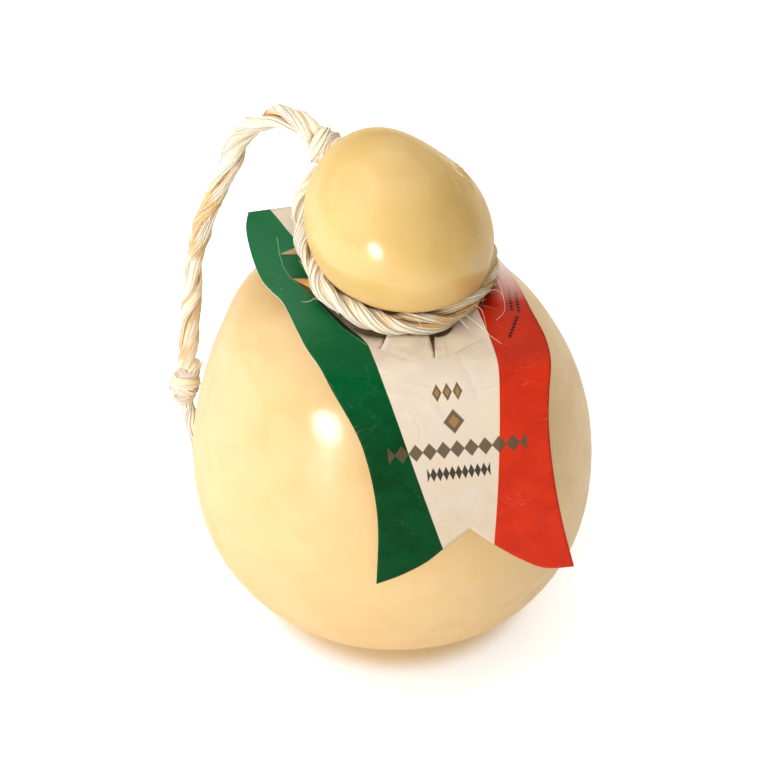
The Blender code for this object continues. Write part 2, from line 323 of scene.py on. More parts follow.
# %% [markdown]
# Specks are small round dots, such as dust on the card and grains of curd in the rind. Voronoi
# cells give one dot to a cell, and only a random share of the cells keeps its dot.

# %% Node group: specks
specks, given, result = new_group(
    "small specks",
    [
        ("Place", "NodeSocketVector", None),
        ("Scale", "NodeSocketFloat", 300.0),
        ("Size", "NodeSocketFloat", 0.18),
        ("Share", "NodeSocketFloat", 0.06),
    ],
    [("Mask", "NodeSocketFloat")],
)
cells = add_node(
    specks,
    "ShaderNodeTexVoronoi",
    {"Vector": given["Place"], "Scale": given["Scale"]},
)
cell_colour = add_node(specks, "ShaderNodeSeparateColor", {"Color": cells.outputs["Color"]})
kept = math_node(specks, "LESS_THAN", cell_colour.outputs["Red"], given["Share"])
dot = ramp(specks, cells.outputs["Distance"], given["Size"], 0.0, soft=True)
specks.links.new(times(specks, kept, dot), result.inputs["Mask"])
print("group:", specks.name)

# %% [markdown]
# A fold wears along a line whose place is known, and a fold of the film shines along one, so
# noise can't make them. This group measures the distance to a straight run, and its mask fades
# over the width of the line. It places wear and grey crease lines on the card, and painted glints
# on the film.

# %% Node group: a line of wear and glint
wear_and_glint_line, given, result = new_group(
    "wear and glint line",
    [
        ("Place", "NodeSocketVector", None),
        ("Start", "NodeSocketVector", (0.0, 0.0, 0.0)),
        ("Run", "NodeSocketVector", (1.0, 0.0, 0.0)),
        ("Width", "NodeSocketFloat", 0.2),
    ],
    [("Mask", "NodeSocketFloat")],
)
from_start = vector_node(wear_and_glint_line, "SUBTRACT", {0: given["Place"], 1: given["Start"]})
along_run = vector_node(wear_and_glint_line, "DOT_PRODUCT", {0: from_start, 1: given["Run"]}, "Value")
run_squared = vector_node(wear_and_glint_line, "DOT_PRODUCT", {0: given["Run"], 1: given["Run"]}, "Value")
share_of_run = math_node(wear_and_glint_line, "DIVIDE", along_run, run_squared, clamp=True)
nearest_on_run = vector_node(wear_and_glint_line, "SCALE", {0: given["Run"], "Scale": share_of_run})
off_line = vector_node(wear_and_glint_line, "DISTANCE", {0: from_start, 1: nearest_on_run}, "Value")
widths_off = math_node(wear_and_glint_line, "DIVIDE", off_line, given["Width"])
line_mask = math_node(wear_and_glint_line, "SUBTRACT", 1.0, widths_off, clamp=True)
wear_and_glint_line.links.new(line_mask, result.inputs["Mask"])
print("group:", wear_and_glint_line.name)

# %% [markdown]
# ## Raffia
# Raffia is a bundle of flat, split palm fibres. It is cream, and on some stretches golden all
# round. In the folds, where the strands shade each other, it gets a painted golden shade. A
# photograph could be wrapped round a tube, but streaks from noise that is long along the strand
# and short across it do the same at any length. Each strand carries a UV map whose U runs round it
# and whose V runs along it. Each of its points also carries two numbers: depth, which is high in a
# fold for the painted shade and on a golden stretch, and tone, which differs from fibre to fibre.

# %% Material: raffia
RAFFIA_CREAM = rgb(252, 240, 218)
RAFFIA_STRAW = rgb(247, 226, 188)
RAFFIA_GOLD_AND_FOLD_SHADE = rgb(231, 184, 116)
BROAD_STREAKS = (9.0, 0.55, 1.0)
FINE_STREAKS = (34.0, 1.6, 1.0)
FOLD_SHADE_AND_GOLD_FROM = 0.40
FOLD_SHADE_AND_GOLD_FULL = 1.06


def strand_streaks(tree, uv, stretch, detail, low, high):
    """Lines along a strand: clouds that are short across it and long along it."""
    place = vector_node(tree, "MULTIPLY", {0: uv, 1: stretch})
    return use_group(
        tree,
        clouds,
        {"Place": place, "Scale": 1.0, "Detail": detail, "Low": low, "High": high},
    )["Mask"]


raffia, tree, shader = new_material("raffia")
strand_uv = add_node(tree, "ShaderNodeUVMap", uv_map="strand").outputs["UV"]
broad_streaks = strand_streaks(tree, strand_uv, BROAD_STREAKS, 4.0, 0.38, 0.64)
fine_streaks = strand_streaks(tree, strand_uv, FINE_STREAKS, 3.0, 0.3, 0.7)
depth = add_node(tree, "ShaderNodeAttribute", attribute_name="depth").outputs["Fac"]
# Painted shade: where depth is high in a fold, the raffia turns golden. On golden stretches the gold is
# the raffia's own.
fold_shade_and_gold = ramp(tree, depth, FOLD_SHADE_AND_GOLD_FROM, FOLD_SHADE_AND_GOLD_FULL, soft=True)
tone = add_node(tree, "ShaderNodeAttribute", attribute_name="tone").outputs["Fac"]
strawness = math_node(tree, "ADD", times(tree, broad_streaks, 0.35), tone, clamp=True)
straw = mixed(tree, strawness, RAFFIA_CREAM, RAFFIA_STRAW)
gold_and_fold_shade = mixed(tree, fold_shade_and_gold, straw, RAFFIA_GOLD_AND_FOLD_SHADE)
raffia_colour = mixed(tree, fine_streaks, gold_and_fold_shade, RAFFIA_CREAM, strength=0.18)
tree.links.new(raffia_colour, shader.inputs["Base Color"])
fibre_bump = add_node(
    tree,
    "ShaderNodeBump",
    {"Strength": 0.5, "Distance": 0.0003, "Height": fine_streaks},
)
tree.links.new(fibre_bump.outputs["Normal"], shader.inputs["Normal"])
set_finish(
    shader,
    {
        "Roughness": 0.6,
        "Subsurface Weight": 0.35,
        "Subsurface Radius": (1.0, 0.6, 0.25),
        "Subsurface Scale": 0.0016,
        "Sheen Weight": 0.25,
        "Sheen Roughness": 0.4,
    },
)
print("material:", raffia.name)

# %% [markdown]
# ## A strand, a twist and a knot
# A rope is several strands that turn round one line. Each strand is a bundle: a soft core with
# flat fibres laid round it, which wander, lift and stop short. A smooth tube with a bump would
# keep a clean outline, and raffia has a ragged one. So real fibres are laid on, and all of a
# piece's tubes grow in one shape, because a hundred separate objects would be slow to handle.


# %% A shape that grows
class Shape:
    """Points and faces that grow as strands are added, with each point's UV, depth and tone."""

    def __init__(self):
        self.points = []
        self.faces = []
        self.uvs = []
        self.depths = []
        self.tones = []

    def add_tube(self, rings, sides):
        """Join rings of points that were just added into a closed tube."""
        first = len(self.points) - rings * sides
        for ring in range(rings - 1):
            for step in range(sides):
                here = first + ring * sides
                ahead = here + sides
                beside = (step + 1) % sides
                self.faces.append((here + step, here + beside, ahead + beside, ahead + step))
        self.faces.append(tuple(reversed(range(first, first + sides))))
        last = first + (rings - 1) * sides
        self.faces.append(tuple(range(last, last + sides)))


# %% [markdown]
# A tube on a curved line needs a direction that points sideways at each step. Taken from a fixed
# direction it would flip where the line turns, so each one is the last one, turned as little as
# possible. Random swings come from smooth noise, so that neighbouring points stay together.


# %% Directions and swings along a line
def turned_frames(points):
    """At each point, a forward, a side and an up direction, turned as little as possible."""
    frames = []
    side = None
    for index in range(len(points)):
        ahead = points[min(index + 1, len(points) - 1)]
        behind = points[max(index - 1, 0)]
        forward = (ahead - behind).normalized()
        if side is None:
            side = forward.cross(Vector((0.0, 0.0, 1.0)))
            if side.length < 0.1:
                side = forward.cross(Vector((1.0, 0.0, 0.0)))
        side = (side - forward * side.dot(forward)).normalized()
        frames.append((forward, side, forward.cross(side)))
    return frames


def wander(reach, swing, key, seed):
    """A random swing with a size and a pace; each thing that swings has a key of its own."""
    size, pace = swing
    return size * noise.noise(Vector((reach * pace, key * 5.17, seed * 3.31)))


# %% [markdown]
# The middle of a strand turns round the rope's line at a distance from it. On the real rope
# nothing is even: the turn drifts, and the distance and the width swing. Lengths along a strand
# are called its reach. Past one reach the cord may be thinner, and past another more golden. A
# swing is given as its size and its pace.


# %% The middle of a strand
CHANGE_LENGTH = 0.03
THINNED_BY = 0.28
END_LENGTH = 0.006
TURN_SWING = (1.3, 42.0)
DISTANCE_SWING = (0.38, 75.0)
WIDTH_SWING = (0.45, 95.0)
GOLD_SWING = (1.0, 80.0)
GOLD_PATCH_RANGE = (-0.05, 0.30)
GOLD_ALL_OVER = 0.26
GOLD_IN_PATCHES = 0.55


def strand_spine(line, radius, seed, offset, phase, pitch, ends, thin_from):
    """Along a strand: its middle, its outward and sideways directions, its half width, its reach."""
    total = length_of(line)
    spine = []
    reach = 0.0
    for index, (point, (forward, side, up)) in enumerate(zip(line, turned_frames(line))):
        if index:
            reach += (point - line[index - 1]).length
        turn = phase + 2.0 * math.pi * reach / pitch + wander(reach, TURN_SWING, 1.0, seed)
        out = side * math.cos(turn) + up * math.sin(turn)
        loose = 1.0 + wander(reach, DISTANCE_SWING, 2.0, seed)
        edge = min(reach, total - reach)
        width = radius * (1.0 + wander(reach, WIDTH_SWING, 3.0, seed))
        width *= ends + (1.0 - ends) * smooth_step(0.0, END_LENGTH, edge)
        thinner = 1.0 - THINNED_BY * smooth_step(thin_from, thin_from + CHANGE_LENGTH, reach)
        middle = point + out * offset * loose * thinner
        spine.append((middle, out, forward.cross(out), width * thinner, reach))
    return spine


def golden_patch(reach, seed, start):
    """Extra gold on a strand from one reach onwards, with more of it on some stretches."""
    patch = smooth_step(*GOLD_PATCH_RANGE, wander(reach, GOLD_SWING, 5.0, seed))
    gold = GOLD_ALL_OVER + GOLD_IN_PATCHES * patch
    return gold * smooth_step(start, start + CHANGE_LENGTH, reach)


# %% [markdown]
# A fibre is a flat ribbon on the strand's surface. It is a thin tube with four sides, so that it
# has an edge that catches the light. Its tone and width are its own, it tilts a little, and the
# ends of a fibre that stops short lift off.


# %% A fibre
STRAND_FLAT = 0.88
FIBRE_HALF_WIDTH = 0.00030
FIBRE_HALF_THICKNESS = 0.00013
FIBRE_HEIGHT = 0.93
FIBRE_END_LIFT = 0.0008
FIBRE_LIFT_LENGTH = 0.004
FIBRE_TIP_WIDTH = 0.3
FIBRE_TIP_LENGTH = 0.003
FIBRE_TONE = 0.35
FIBRE_DEPTH = 0.50
FIBRE_SLANT = 30.0
ROUND_SWING = (0.8, 45.0)
HEIGHT_SWING = (0.16, 80.0)
BREADTH_SWING = (0.5, 70.0)
TILT_SWING = (0.5, 55.0)
TONE_FROM_FIBRE_TO_FIBRE = (0.7, 1.0)
TONE_ALONG_A_FIBRE = (0.25, 30.0)
FIBRE_SIDES = ((1.0, 0.0), (0.0, 1.0), (-1.0, 0.0), (0.0, -1.0))


def add_fibre(shape, spine, start_angle, half_width, key, seed, lift_ends, gold_from, fold_shade):
    """A flat fibre on a strand's surface; it swings a little round it and in and out of it."""
    first_reach = spine[0][4]
    last_reach = spine[-1][4]
    tone = FIBRE_TONE + wander(0.37 * key, TONE_FROM_FIBRE_TO_FIBRE, key, seed + 4.0)
    for middle, out, across, width, reach in spine:
        angle = start_angle - FIBRE_SLANT * reach + wander(reach, ROUND_SWING, key, seed)
        radial = out * math.cos(angle) + across * math.sin(angle)
        around = across * math.cos(angle) - out * math.sin(angle)
        height = width * (FIBRE_HEIGHT + wander(reach, HEIGHT_SWING, key, seed + 2.0))
        edge = min(reach - first_reach, last_reach - reach)
        if lift_ends:
            height += FIBRE_END_LIFT * (1.0 - smooth_step(0.0, FIBRE_LIFT_LENGTH, edge))
        taper = FIBRE_TIP_WIDTH + (1.0 - FIBRE_TIP_WIDTH) * smooth_step(0.0, FIBRE_TIP_LENGTH, edge)
        half = half_width * (1.0 + wander(reach, BREADTH_SWING, key, seed + 6.0)) * taper
        tilt = wander(reach, TILT_SWING, key, seed + 8.0)
        flat_way = around * math.cos(tilt) + radial * math.sin(tilt)
        thick_way = radial * math.cos(tilt) - around * math.sin(tilt)
        centre = middle + out * math.cos(angle) * height * STRAND_FLAT
        centre += across * math.sin(angle) * height / STRAND_FLAT
        gold = golden_patch(reach, seed, gold_from)
        for sideways, outward in FIBRE_SIDES:
            point = centre + flat_way * half * sideways
            point += thick_way * FIBRE_HALF_THICKNESS * outward
            shape.points.append(point)
            shape.uvs.append((0.11 * sideways + key * 0.37 + seed, reach * 100.0))
            shape.depths.append(FIBRE_DEPTH - fold_shade * math.cos(angle) + gold)
            shape.tones.append(tone + wander(reach, TONE_ALONG_A_FIBRE, key, seed + 9.0))
    shape.add_tube(len(spine), len(FIBRE_SIDES))


# %% [markdown]
# A strand is its core and its fibres. In a strand that turns round a line, the side that faces
# the line lies in a fold, where the strands shade it, and gets a painted golden shade. So the depth
# of a point depends on where it is round the strand. A strand that lies alone, as in a knot, has
# little of that.


# %% A strand
CORE_SIDES = 20
CORE_WIDTH = 0.90
CORE_RIDGES = (0.16, 30.0)
CORE_DEPTH = 0.55
CORE_TONE = 0.4
# How much painted shade the side of a strand in a fold gets, in a twist and alone.
FOLD_SHADE_IN_A_TWIST = 0.42
FOLD_SHADE_ALONE = 0.10


def add_strand(
    shape,
    line,
    radius,
    seed,
    fibres=22,
    offset=0.0,
    phase=0.0,
    pitch=0.05,
    ends=0.55,
    gold_from=1.0,
    thin_from=1.0,
):
    """One strand on a line, turning round it at an offset.

    Pitch is the length of a turn, ends is the share of the width that is left at each end, and
    gold_from and thin_from are the reaches from which the strand is more golden or thinner.
    """
    chance = random.Random(int(seed * 10.0))
    fold_shade = FOLD_SHADE_IN_A_TWIST if offset > 0.0 else FOLD_SHADE_ALONE
    spine = strand_spine(line, radius, seed, offset, phase, pitch, ends, thin_from)
    for middle, out, across, width, reach in spine:
        gold = golden_patch(reach, seed, gold_from)
        for step in range(CORE_SIDES):
            angle = 2.0 * math.pi * step / CORE_SIDES
            round_key = 9.0 * math.cos(angle) + 4.0 * math.sin(angle)
            ridge = 1.0 + wander(reach, CORE_RIDGES, round_key, seed)
            outward = out * math.cos(angle) * STRAND_FLAT + across * math.sin(angle) / STRAND_FLAT
            shape.points.append(middle + outward * width * CORE_WIDTH * ridge)
            shape.uvs.append((angle / 3.0 + seed, reach * 100.0))
            shape.depths.append(CORE_DEPTH - fold_shade * math.cos(angle) + gold)
            shape.tones.append(CORE_TONE)
    shape.add_tube(len(spine), CORE_SIDES)
    for fibre in range(fibres):
        angle = 2.0 * math.pi * (fibre + chance.uniform(-0.4, 0.4)) / fibres
        start = 0
        end = len(spine)
        stops_short = chance.random() < 0.5
        if stops_short and len(spine) > 60:
            start = chance.randrange(0, len(spine) - 40)
            end = min(len(spine), start + chance.randrange(25, 80))
        width = FIBRE_HALF_WIDTH * chance.uniform(0.6, 1.6)
        key = fibre + 1.0
        add_fibre(shape, spine[start:end], angle, width, key, seed, stops_short, gold_from, fold_shade)


# %% [markdown]
# The shape becomes one mesh. Its UV map and its two numbers are stored by name, so that the
# material can read them back.


# %% From shape to piece
def finish_shape(name, shape):
    """Make the piece and store each point's strand UV, depth and tone."""
    piece = add_piece(name, shape.points, shape.faces, [raffia])
    mesh = piece.data
    layer = mesh.uv_layers.new(name="strand")
    for loop in mesh.loops:
        layer.data[loop.index].uv = shape.uvs[loop.vertex_index]
    for label, values in (("depth", shape.depths), ("tone", shape.tones)):
        stored = mesh.attributes.new(label, "FLOAT", "POINT")
        stored.data.foreach_set("value", values)
    return piece


# %% [markdown]
# ## The free rope
# The rope leaves the knot behind the head, arches up and hangs down beside the body to its end
# knot. Raffia is springy, so it keeps a stiff arch. A simulation would let it fall, so its route
# is listed, and it is the one that the solid model has, point for point. Three strands turn
# round it, a turn every 46 mm.

# %% The free rope
ROPE_ROUTE = (
    (-0.0239, 0.0374, 0.1783),
    (-0.0290, 0.0440, 0.1798),
    (-0.0356, 0.0494, 0.1782),
    (-0.0419, 0.0529, 0.1741),
    (-0.0474, 0.0551, 0.1683),
    (-0.0515, 0.0553, 0.1626),
    (-0.0552, 0.0535, 0.1526),
    (-0.0600, 0.0517, 0.1429),
    (-0.0649, 0.0490, 0.1315),
    (-0.0672, 0.0472, 0.1238),
    (-0.0690, 0.0453, 0.1161),
    (-0.0703, 0.0435, 0.1080),
    (-0.0713, 0.0419, 0.0999),
    (-0.0724, 0.0403, 0.0912),
    (-0.0734, 0.0390, 0.0823),
    (-0.0746, 0.0378, 0.0740),
)
ROPE_PITCH = 0.046
STRANDS = 3
STRAND_STEP = 0.0008

rope_line = evenly_along(ROPE_ROUTE, STRAND_STEP)
rope_shape = Shape()
for strand in range(STRANDS):
    add_strand(
        rope_shape,
        rope_line,
        radius=0.00220,
        seed=strand + 1.0,
        fibres=24,
        offset=0.0020,
        phase=2.0 * math.pi * strand / STRANDS + 0.6,
        pitch=ROPE_PITCH,
        ends=0.92,
        gold_from=0.034,
    )
rope = finish_shape("raffia_rope", rope_shape)
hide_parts("rope")

# %% [markdown]
# ## The two knots
# A knot seen from outside is a few turns of strand over a lump. A full knot could be traced,
# but its inside never shows, so each knot is an inner lump with the strand wound round an axis.
# The winding follows the solid knot's rounded shape. The lump can start well outside the winding,
# so that the rope runs into the knot without a gap.


# %% Winding a knot
WINDING_STEPS = 44
WINDING_WOBBLE = 0.0008
WINDING_UNEVENNESS = 0.06
LUMP_STEPS = 20
LUMP_END = 0.8
LUMP_WIDTH = 0.66


def wind_knot(
    name,
    centre,
    axis,
    radii,
    turns,
    strand_radius,
    start_angle,
    seed,
    spread=0.72,
    lump_start=-LUMP_END,
):
    """A lump with a strand wound round it.

    Radii are across the axis and along it, spread is the share of the length that is wound, and
    lump_start is where the lump begins, with -1 at one end of the knot and 1 at the other.
    """
    axis = Vector(axis).normalized()
    side = axis.cross(Vector((0.0, 0.0, 1.0)))
    if side.length < 0.2:
        side = axis.cross(Vector((1.0, 0.0, 0.0)))
    side.normalize()
    up = axis.cross(side)
    centre = Vector(centre)
    across, half_length = radii
    shape = Shape()
    steps = int(turns * WINDING_STEPS)
    wound = []
    for step in range(steps + 1):
        share = step / steps
        height = half_length * (2.0 * share - 1.0) * spread
        angle = start_angle + 2.0 * math.pi * turns * share
        bulge = math.sqrt(max(0.05, 1.0 - (height / half_length) ** 2))
        uneven = 1.0 + WINDING_UNEVENNESS * math.sin(2.0 * angle + seed)
        out = (across * bulge - strand_radius) * uneven
        wobble = WINDING_WOBBLE * math.sin(angle * 1.7 + seed)
        outward = side * math.cos(angle) + up * math.sin(angle)
        wound.append(centre + axis * (height + wobble) + outward * out)
    add_strand(shape, wound, strand_radius, seed, fibres=22, ends=0.6)
    lump = []
    for step in range(LUMP_STEPS + 1):
        along = lump_start + (LUMP_END - lump_start) * step / LUMP_STEPS
        lump.append(centre + axis * half_length * along)
    add_strand(shape, lump, across * LUMP_WIDTH, seed + 3.0, fibres=30, ends=0.6)
    return finish_shape(name, shape)


# %% The two knots
NECK_KNOT = (-0.0196, 0.0323, 0.1765)
END_KNOT = (-0.0752, 0.0369, 0.0658)
neck_knot = wind_knot(
    "raffia_neck_knot",
    NECK_KNOT,
    axis=(0.75, -0.62, -0.22),
    radii=(0.0070, 0.0072),
    turns=3.2,
    strand_radius=0.00245,
    start_angle=0.4,
    seed=11.0,
)
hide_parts("neck_knot")
end_knot = wind_knot(
    "raffia_end_knot",
    END_KNOT,
    axis=(-0.34, -0.08, -0.94),
    radii=(0.0061, 0.0082),
    turns=3.6,
    strand_radius=0.00255,
    start_angle=2.2,
    seed=14.0,
    spread=0.84,
    lump_start=-1.35,
)
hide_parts("end_knot")

# %% [markdown]
# ## The loose end
# Below the end knot the rope's last bit hangs free. Nothing holds its strands together there, so
# it is the same twist again with longer turns, and its strands get thin towards both ends.

# %% The loose end below the knot
TAIL_ROUTE = (
    (-0.0751, 0.0364, 0.0576),
    (-0.0743, 0.0350, 0.0500),
    (-0.0731, 0.0344, 0.0420),
    (-0.0720, 0.0348, 0.0330),
    (-0.0715, 0.0358, 0.0240),
)
tail_line = evenly_along(TAIL_ROUTE, STRAND_STEP)
tail_shape = Shape()
for strand in range(STRANDS):
    add_strand(
        tail_shape,
        tail_line,
        radius=0.0017,
        seed=strand + 21.0,
        fibres=16,
        offset=0.0015,
        phase=2.0 * math.pi * strand / STRANDS,
        pitch=0.070,
        ends=0.35,
        gold_from=0.0,
    )
tail = finish_shape("raffia_tail", tail_shape)
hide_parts("rope_tail")
print("tail length in mm:", round(1000 * length_of(tail_line), 1))

# %% [markdown]
# The rope is a real cord of a fixed length. It leaves the neck knot and ends in the end knot,
# which lies on it together with the loose end.

# %% [markdown]
# ## The cord round the neck
# The same raffia ties the neck. It lies on the card's collar round the front and climbs to the
# knot behind the head, so its route is a ring with a climb at each end. A plain ring would leave
# a gap under the head, but the real cord is pressed up against it, so the ring rises a little
# at both sides. Towards the right the cord is drawn tight and thins.

# %% The cord round the neck
RING_CENTRE = Vector((0.0038, -0.0023, 0.1520))
RING_RADIUS = 0.0299
RING_START = math.radians(188.0)
RING_END = math.radians(372.0)
RING_POINTS = 15
RING_LIFT_LEFT = 0.0016
RING_LIFT_RIGHT = 0.0017
LIFT_FROM = 0.3
LIFT_FULL = 0.75
CORD_LEFT_ROUTE = (
    (-0.0224, 0.0279, 0.1706),
    (-0.0266, 0.0219, 0.1676),
    (-0.0293, 0.0175, 0.1650),
    (-0.0298, 0.0131, 0.1585),
    (-0.0286, 0.0070, 0.1532),
)
CORD_RIGHT_ROUTE = (
    (0.0276, 0.0180, 0.1524),
    (0.0184, 0.0286, 0.1536),
    (0.0062, 0.0344, 0.1575),
    (-0.0062, 0.0354, 0.1640),
    (-0.0142, 0.0334, 0.1719),
)
ring = []
for step in range(RING_POINTS):
    angle = RING_START + (RING_END - RING_START) * step / (RING_POINTS - 1)
    lift = RING_LIFT_LEFT * smooth_step(-LIFT_FROM, -LIFT_FULL, math.cos(angle))
    lift += RING_LIFT_RIGHT * smooth_step(LIFT_FROM, LIFT_FULL, math.cos(angle))
    outward = Vector((math.cos(angle), math.sin(angle), 0.0))
    ring.append(RING_CENTRE + RING_RADIUS * outward + Vector((0.0, 0.0, lift)))
cord_line = evenly_along([*CORD_LEFT_ROUTE, *ring, *CORD_RIGHT_ROUTE], STRAND_STEP)
cord_shape = Shape()
for strand in range(STRANDS):
    add_strand(
        cord_shape,
        cord_line,
        radius=0.00205,
        seed=strand + 31.0,
        fibres=22,
        offset=0.00180,
        phase=2.0 * math.pi * strand / STRANDS + 1.4,
        pitch=0.038,
        ends=0.75,
        gold_from=0.060,
        thin_from=0.098,
    )
neck_cord = finish_shape("raffia_neck_cord", cord_shape)
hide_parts("neck_cord")
print("neck cord length in mm:", round(1000 * length_of(cord_line), 1))

# %% [markdown]
# ## The rind
# The rind is stretched curd, brined and then sealed in clear film: warm yellow, cloudy and a bit
# translucent. Paint could be one yellow, but real curd is not. The head is made paler and greener,
# and the colour darker towards the base. The hollow of the neck gets painted light at the left and
# painted shade elsewhere, where the card and the cord shade it. The clouds give the small changes,
# and ramps over the height give the large ones.

# %% Colours of the rind
RIND_YELLOW = (0.61, 0.405, 0.158, 1.0)
RIND_PALE = (0.64, 0.445, 0.205, 1.0)
RIND_DEEP = (0.57, 0.350, 0.115, 1.0)
RIND_SPECK = (0.80, 0.66, 0.38, 1.0)
NO_TINT = (1.0, 1.0, 1.0, 1.0)
HEAD_TINT = (0.97, 0.96, 0.74, 1.0)
BASE_TINT = (0.80, 0.72, 0.52, 1.0)
# Painted light and painted shade for the hollow of the neck.
NECK_HOLLOW_PAINTED_LIGHT = (0.95, 0.50, 0.12, 1.0)
NECK_HOLLOW_PAINTED_SHADE = (0.20, 0.13, 0.055, 1.0)

# %% Material: the rind's clouds and specks
rind, tree, shader = new_material("rind")
place = object_place(tree)
broad = use_group(tree, clouds, {"Place": place, "Scale": 26.0, "Detail": 4.0})["Mask"]
close = use_group(
    tree,
    clouds,
    {"Place": place, "Scale": 85.0, "Detail": 5.0, "Low": 0.45, "High": 0.72},
)["Mask"]
dots = use_group(tree, specks, {"Place": place, "Scale": 330.0, "Size": 0.22, "Share": 0.035})["Mask"]
cloudy = mixed(tree, broad, RIND_YELLOW, RIND_PALE, strength=0.7)
deeper = mixed(tree, close, cloudy, RIND_DEEP, strength=0.35)
speckled = mixed(tree, dots, deeper, RIND_SPECK, strength=0.5)
print("rind: clouds and specks")

# %% Material: the rind's tints, and painted light and shade in the hollow of the neck
HEAD_TINT_FROM_Z = 0.150
HEAD_TINT_FULL_Z = 0.172
BASE_TINT_FROM_Z = 0.075
BASE_TINT_FULL_Z = 0.012
HOLLOW_LOW_Z = (0.1425, 0.1445)
HOLLOW_HIGH_Z = (0.1525, 0.1495)
NECK_HOLLOW_PAINTED_LIGHT_X = (-0.0250, -0.0275)

axes = add_node(tree, "ShaderNodeSeparateXYZ", {0: place}).outputs
on_head = ramp(tree, axes["Z"], HEAD_TINT_FROM_Z, HEAD_TINT_FULL_Z)
near_base = ramp(tree, axes["Z"], BASE_TINT_FROM_Z, BASE_TINT_FULL_Z)
tint = mixed(tree, on_head, NO_TINT, HEAD_TINT)
tint = mixed(tree, near_base, tint, BASE_TINT)
tinted = add_node(
    tree,
    "ShaderNodeMix",
    {0: 1.0, 6: speckled, 7: tint},
    data_type="RGBA",
    blend_type="MULTIPLY",
)
above_shoulder = ramp(tree, axes["Z"], *HOLLOW_LOW_Z)
below_head = ramp(tree, axes["Z"], *HOLLOW_HIGH_Z)
painted_hollow_mask = times(tree, above_shoulder, below_head)
# Painted light at the left of the hollow, and painted shade elsewhere in it.
hollow = mixed(tree, ramp(tree, axes["X"], *NECK_HOLLOW_PAINTED_LIGHT_X), NECK_HOLLOW_PAINTED_SHADE, NECK_HOLLOW_PAINTED_LIGHT)
rind_colour = mixed(tree, painted_hollow_mask, tinted.outputs[2], hollow)
print("rind: tints and hollow")

# %% [markdown]
# Where the film was gathered at the crown, its folds catch the light as whitish lines, and those
# lines are painted glints. Each is bowed a little, so it is two straight runs of the line of wear
# and glint, with its middle moved away from the head's.

# %% Material: painted glints on the folds of the film
# Painted glints: the whitish lines on the film's folds.
FILM_GLINT_WHITE = (0.95, 0.88, 0.68, 1.0)
FILM_GLINT_WIDTH_MM = 0.55
FILM_GLINT_BULGE_MM = 0.20
HEAD_MIDDLE_MM = Vector((2.3, -3.1, 168.8))
FILM_CREASE_GLINTS = (
    # start and end on the head in millimetres, strength
    ((14.9, 3.0, 195.7), (18.4, -0.9, 194.6), 0.30),
    ((16.7, 0.8, 195.3), (22.4, -5.2, 191.8), 0.65),
    ((18.0, 1.8, 194.2), (21.0, -2.1, 192.8), 0.80),
    ((19.6, -3.8, 194.2), (23.0, -4.7, 191.4), 0.40),
    ((20.8, -4.9, 193.3), (25.7, -5.1, 189.1), 0.50),
    ((19.0, -8.9, 194.5), (21.9, -14.3, 190.5), 0.18),
)

place_mm = vector_node(tree, "SCALE", {0: place, "Scale": 1000.0})
for start, end, strength in FILM_CREASE_GLINTS:
    start = Vector(start)
    end = Vector(end)
    middle = 0.5 * (start + end)
    middle += (middle - HEAD_MIDDLE_MM).normalized() * FILM_GLINT_BULGE_MM
    for run_start, run_end in ((start, middle), (middle, end)):
        run = run_end - run_start
        film_glint = use_group(
            tree,
            wear_and_glint_line,
            {"Place": place_mm, "Start": run_start, "Run": run, "Width": FILM_GLINT_WIDTH_MM},
        )["Mask"]
        rind_colour = mixed(tree, film_glint, rind_colour, FILM_GLINT_WHITE, strength=strength)
tree.links.new(rind_colour, shader.inputs["Base Color"])
print("rind:", len(FILM_CREASE_GLINTS), "folds of the film")

# %% [markdown]
# The curd alone is satin, and the film over it gives a lamp one clean round spot. So the base is
# soft and a coat lies on it. The gloss shows where the rind faces the viewer and hardly at all
# near its outline. Layer Weight goes from 0 to 1 between those two, so it turns the coat down.

# %% Material: the rind's surface
rind_roughness = ramp(tree, close, 0.0, 1.0, low=0.44, high=0.52)
tree.links.new(rind_roughness, shader.inputs["Roughness"])
pits = add_node(tree, "ShaderNodeTexNoise", {"Vector": place, "Scale": 620.0, "Detail": 2.0})
rind_height = math_node(tree, "ADD", times(tree, pits.outputs["Fac"], 0.5), dots)
rind_bump = add_node(
    tree,
    "ShaderNodeBump",
    {"Strength": 0.12, "Distance": 0.0002, "Height": rind_height},
)
tree.links.new(rind_bump.outputs["Normal"], shader.inputs["Normal"])
facing = add_node(tree, "ShaderNodeLayerWeight", {"Blend": 0.5}).outputs["Facing"]
film_gloss = ramp(tree, facing, 0.50, 0.80, low=0.55, high=0.05)
tree.links.new(film_gloss, shader.inputs["Coat Weight"])
set_finish(
    shader,
    {
        "Subsurface Weight": 0.15,
        "Subsurface Radius": (1.0, 0.55, 0.2),
        "Subsurface Scale": 0.006,
        "Specular IOR Level": 0.3,
        "Coat Roughness": 0.175,
    },
)
print("material:", rind.name)

# %% [markdown]
# ## The cheese
# The solid model already has the right drop, but in flat facets. Here the same turned profile
# is drawn finely and then given what a hand-formed cheese has: slow unevenness, a soft dent on
# the head and gathers in the film where it was sealed. Turning a profile keeps the neck and the
# shoulder exact; a sculpted ball would have to be measured again.

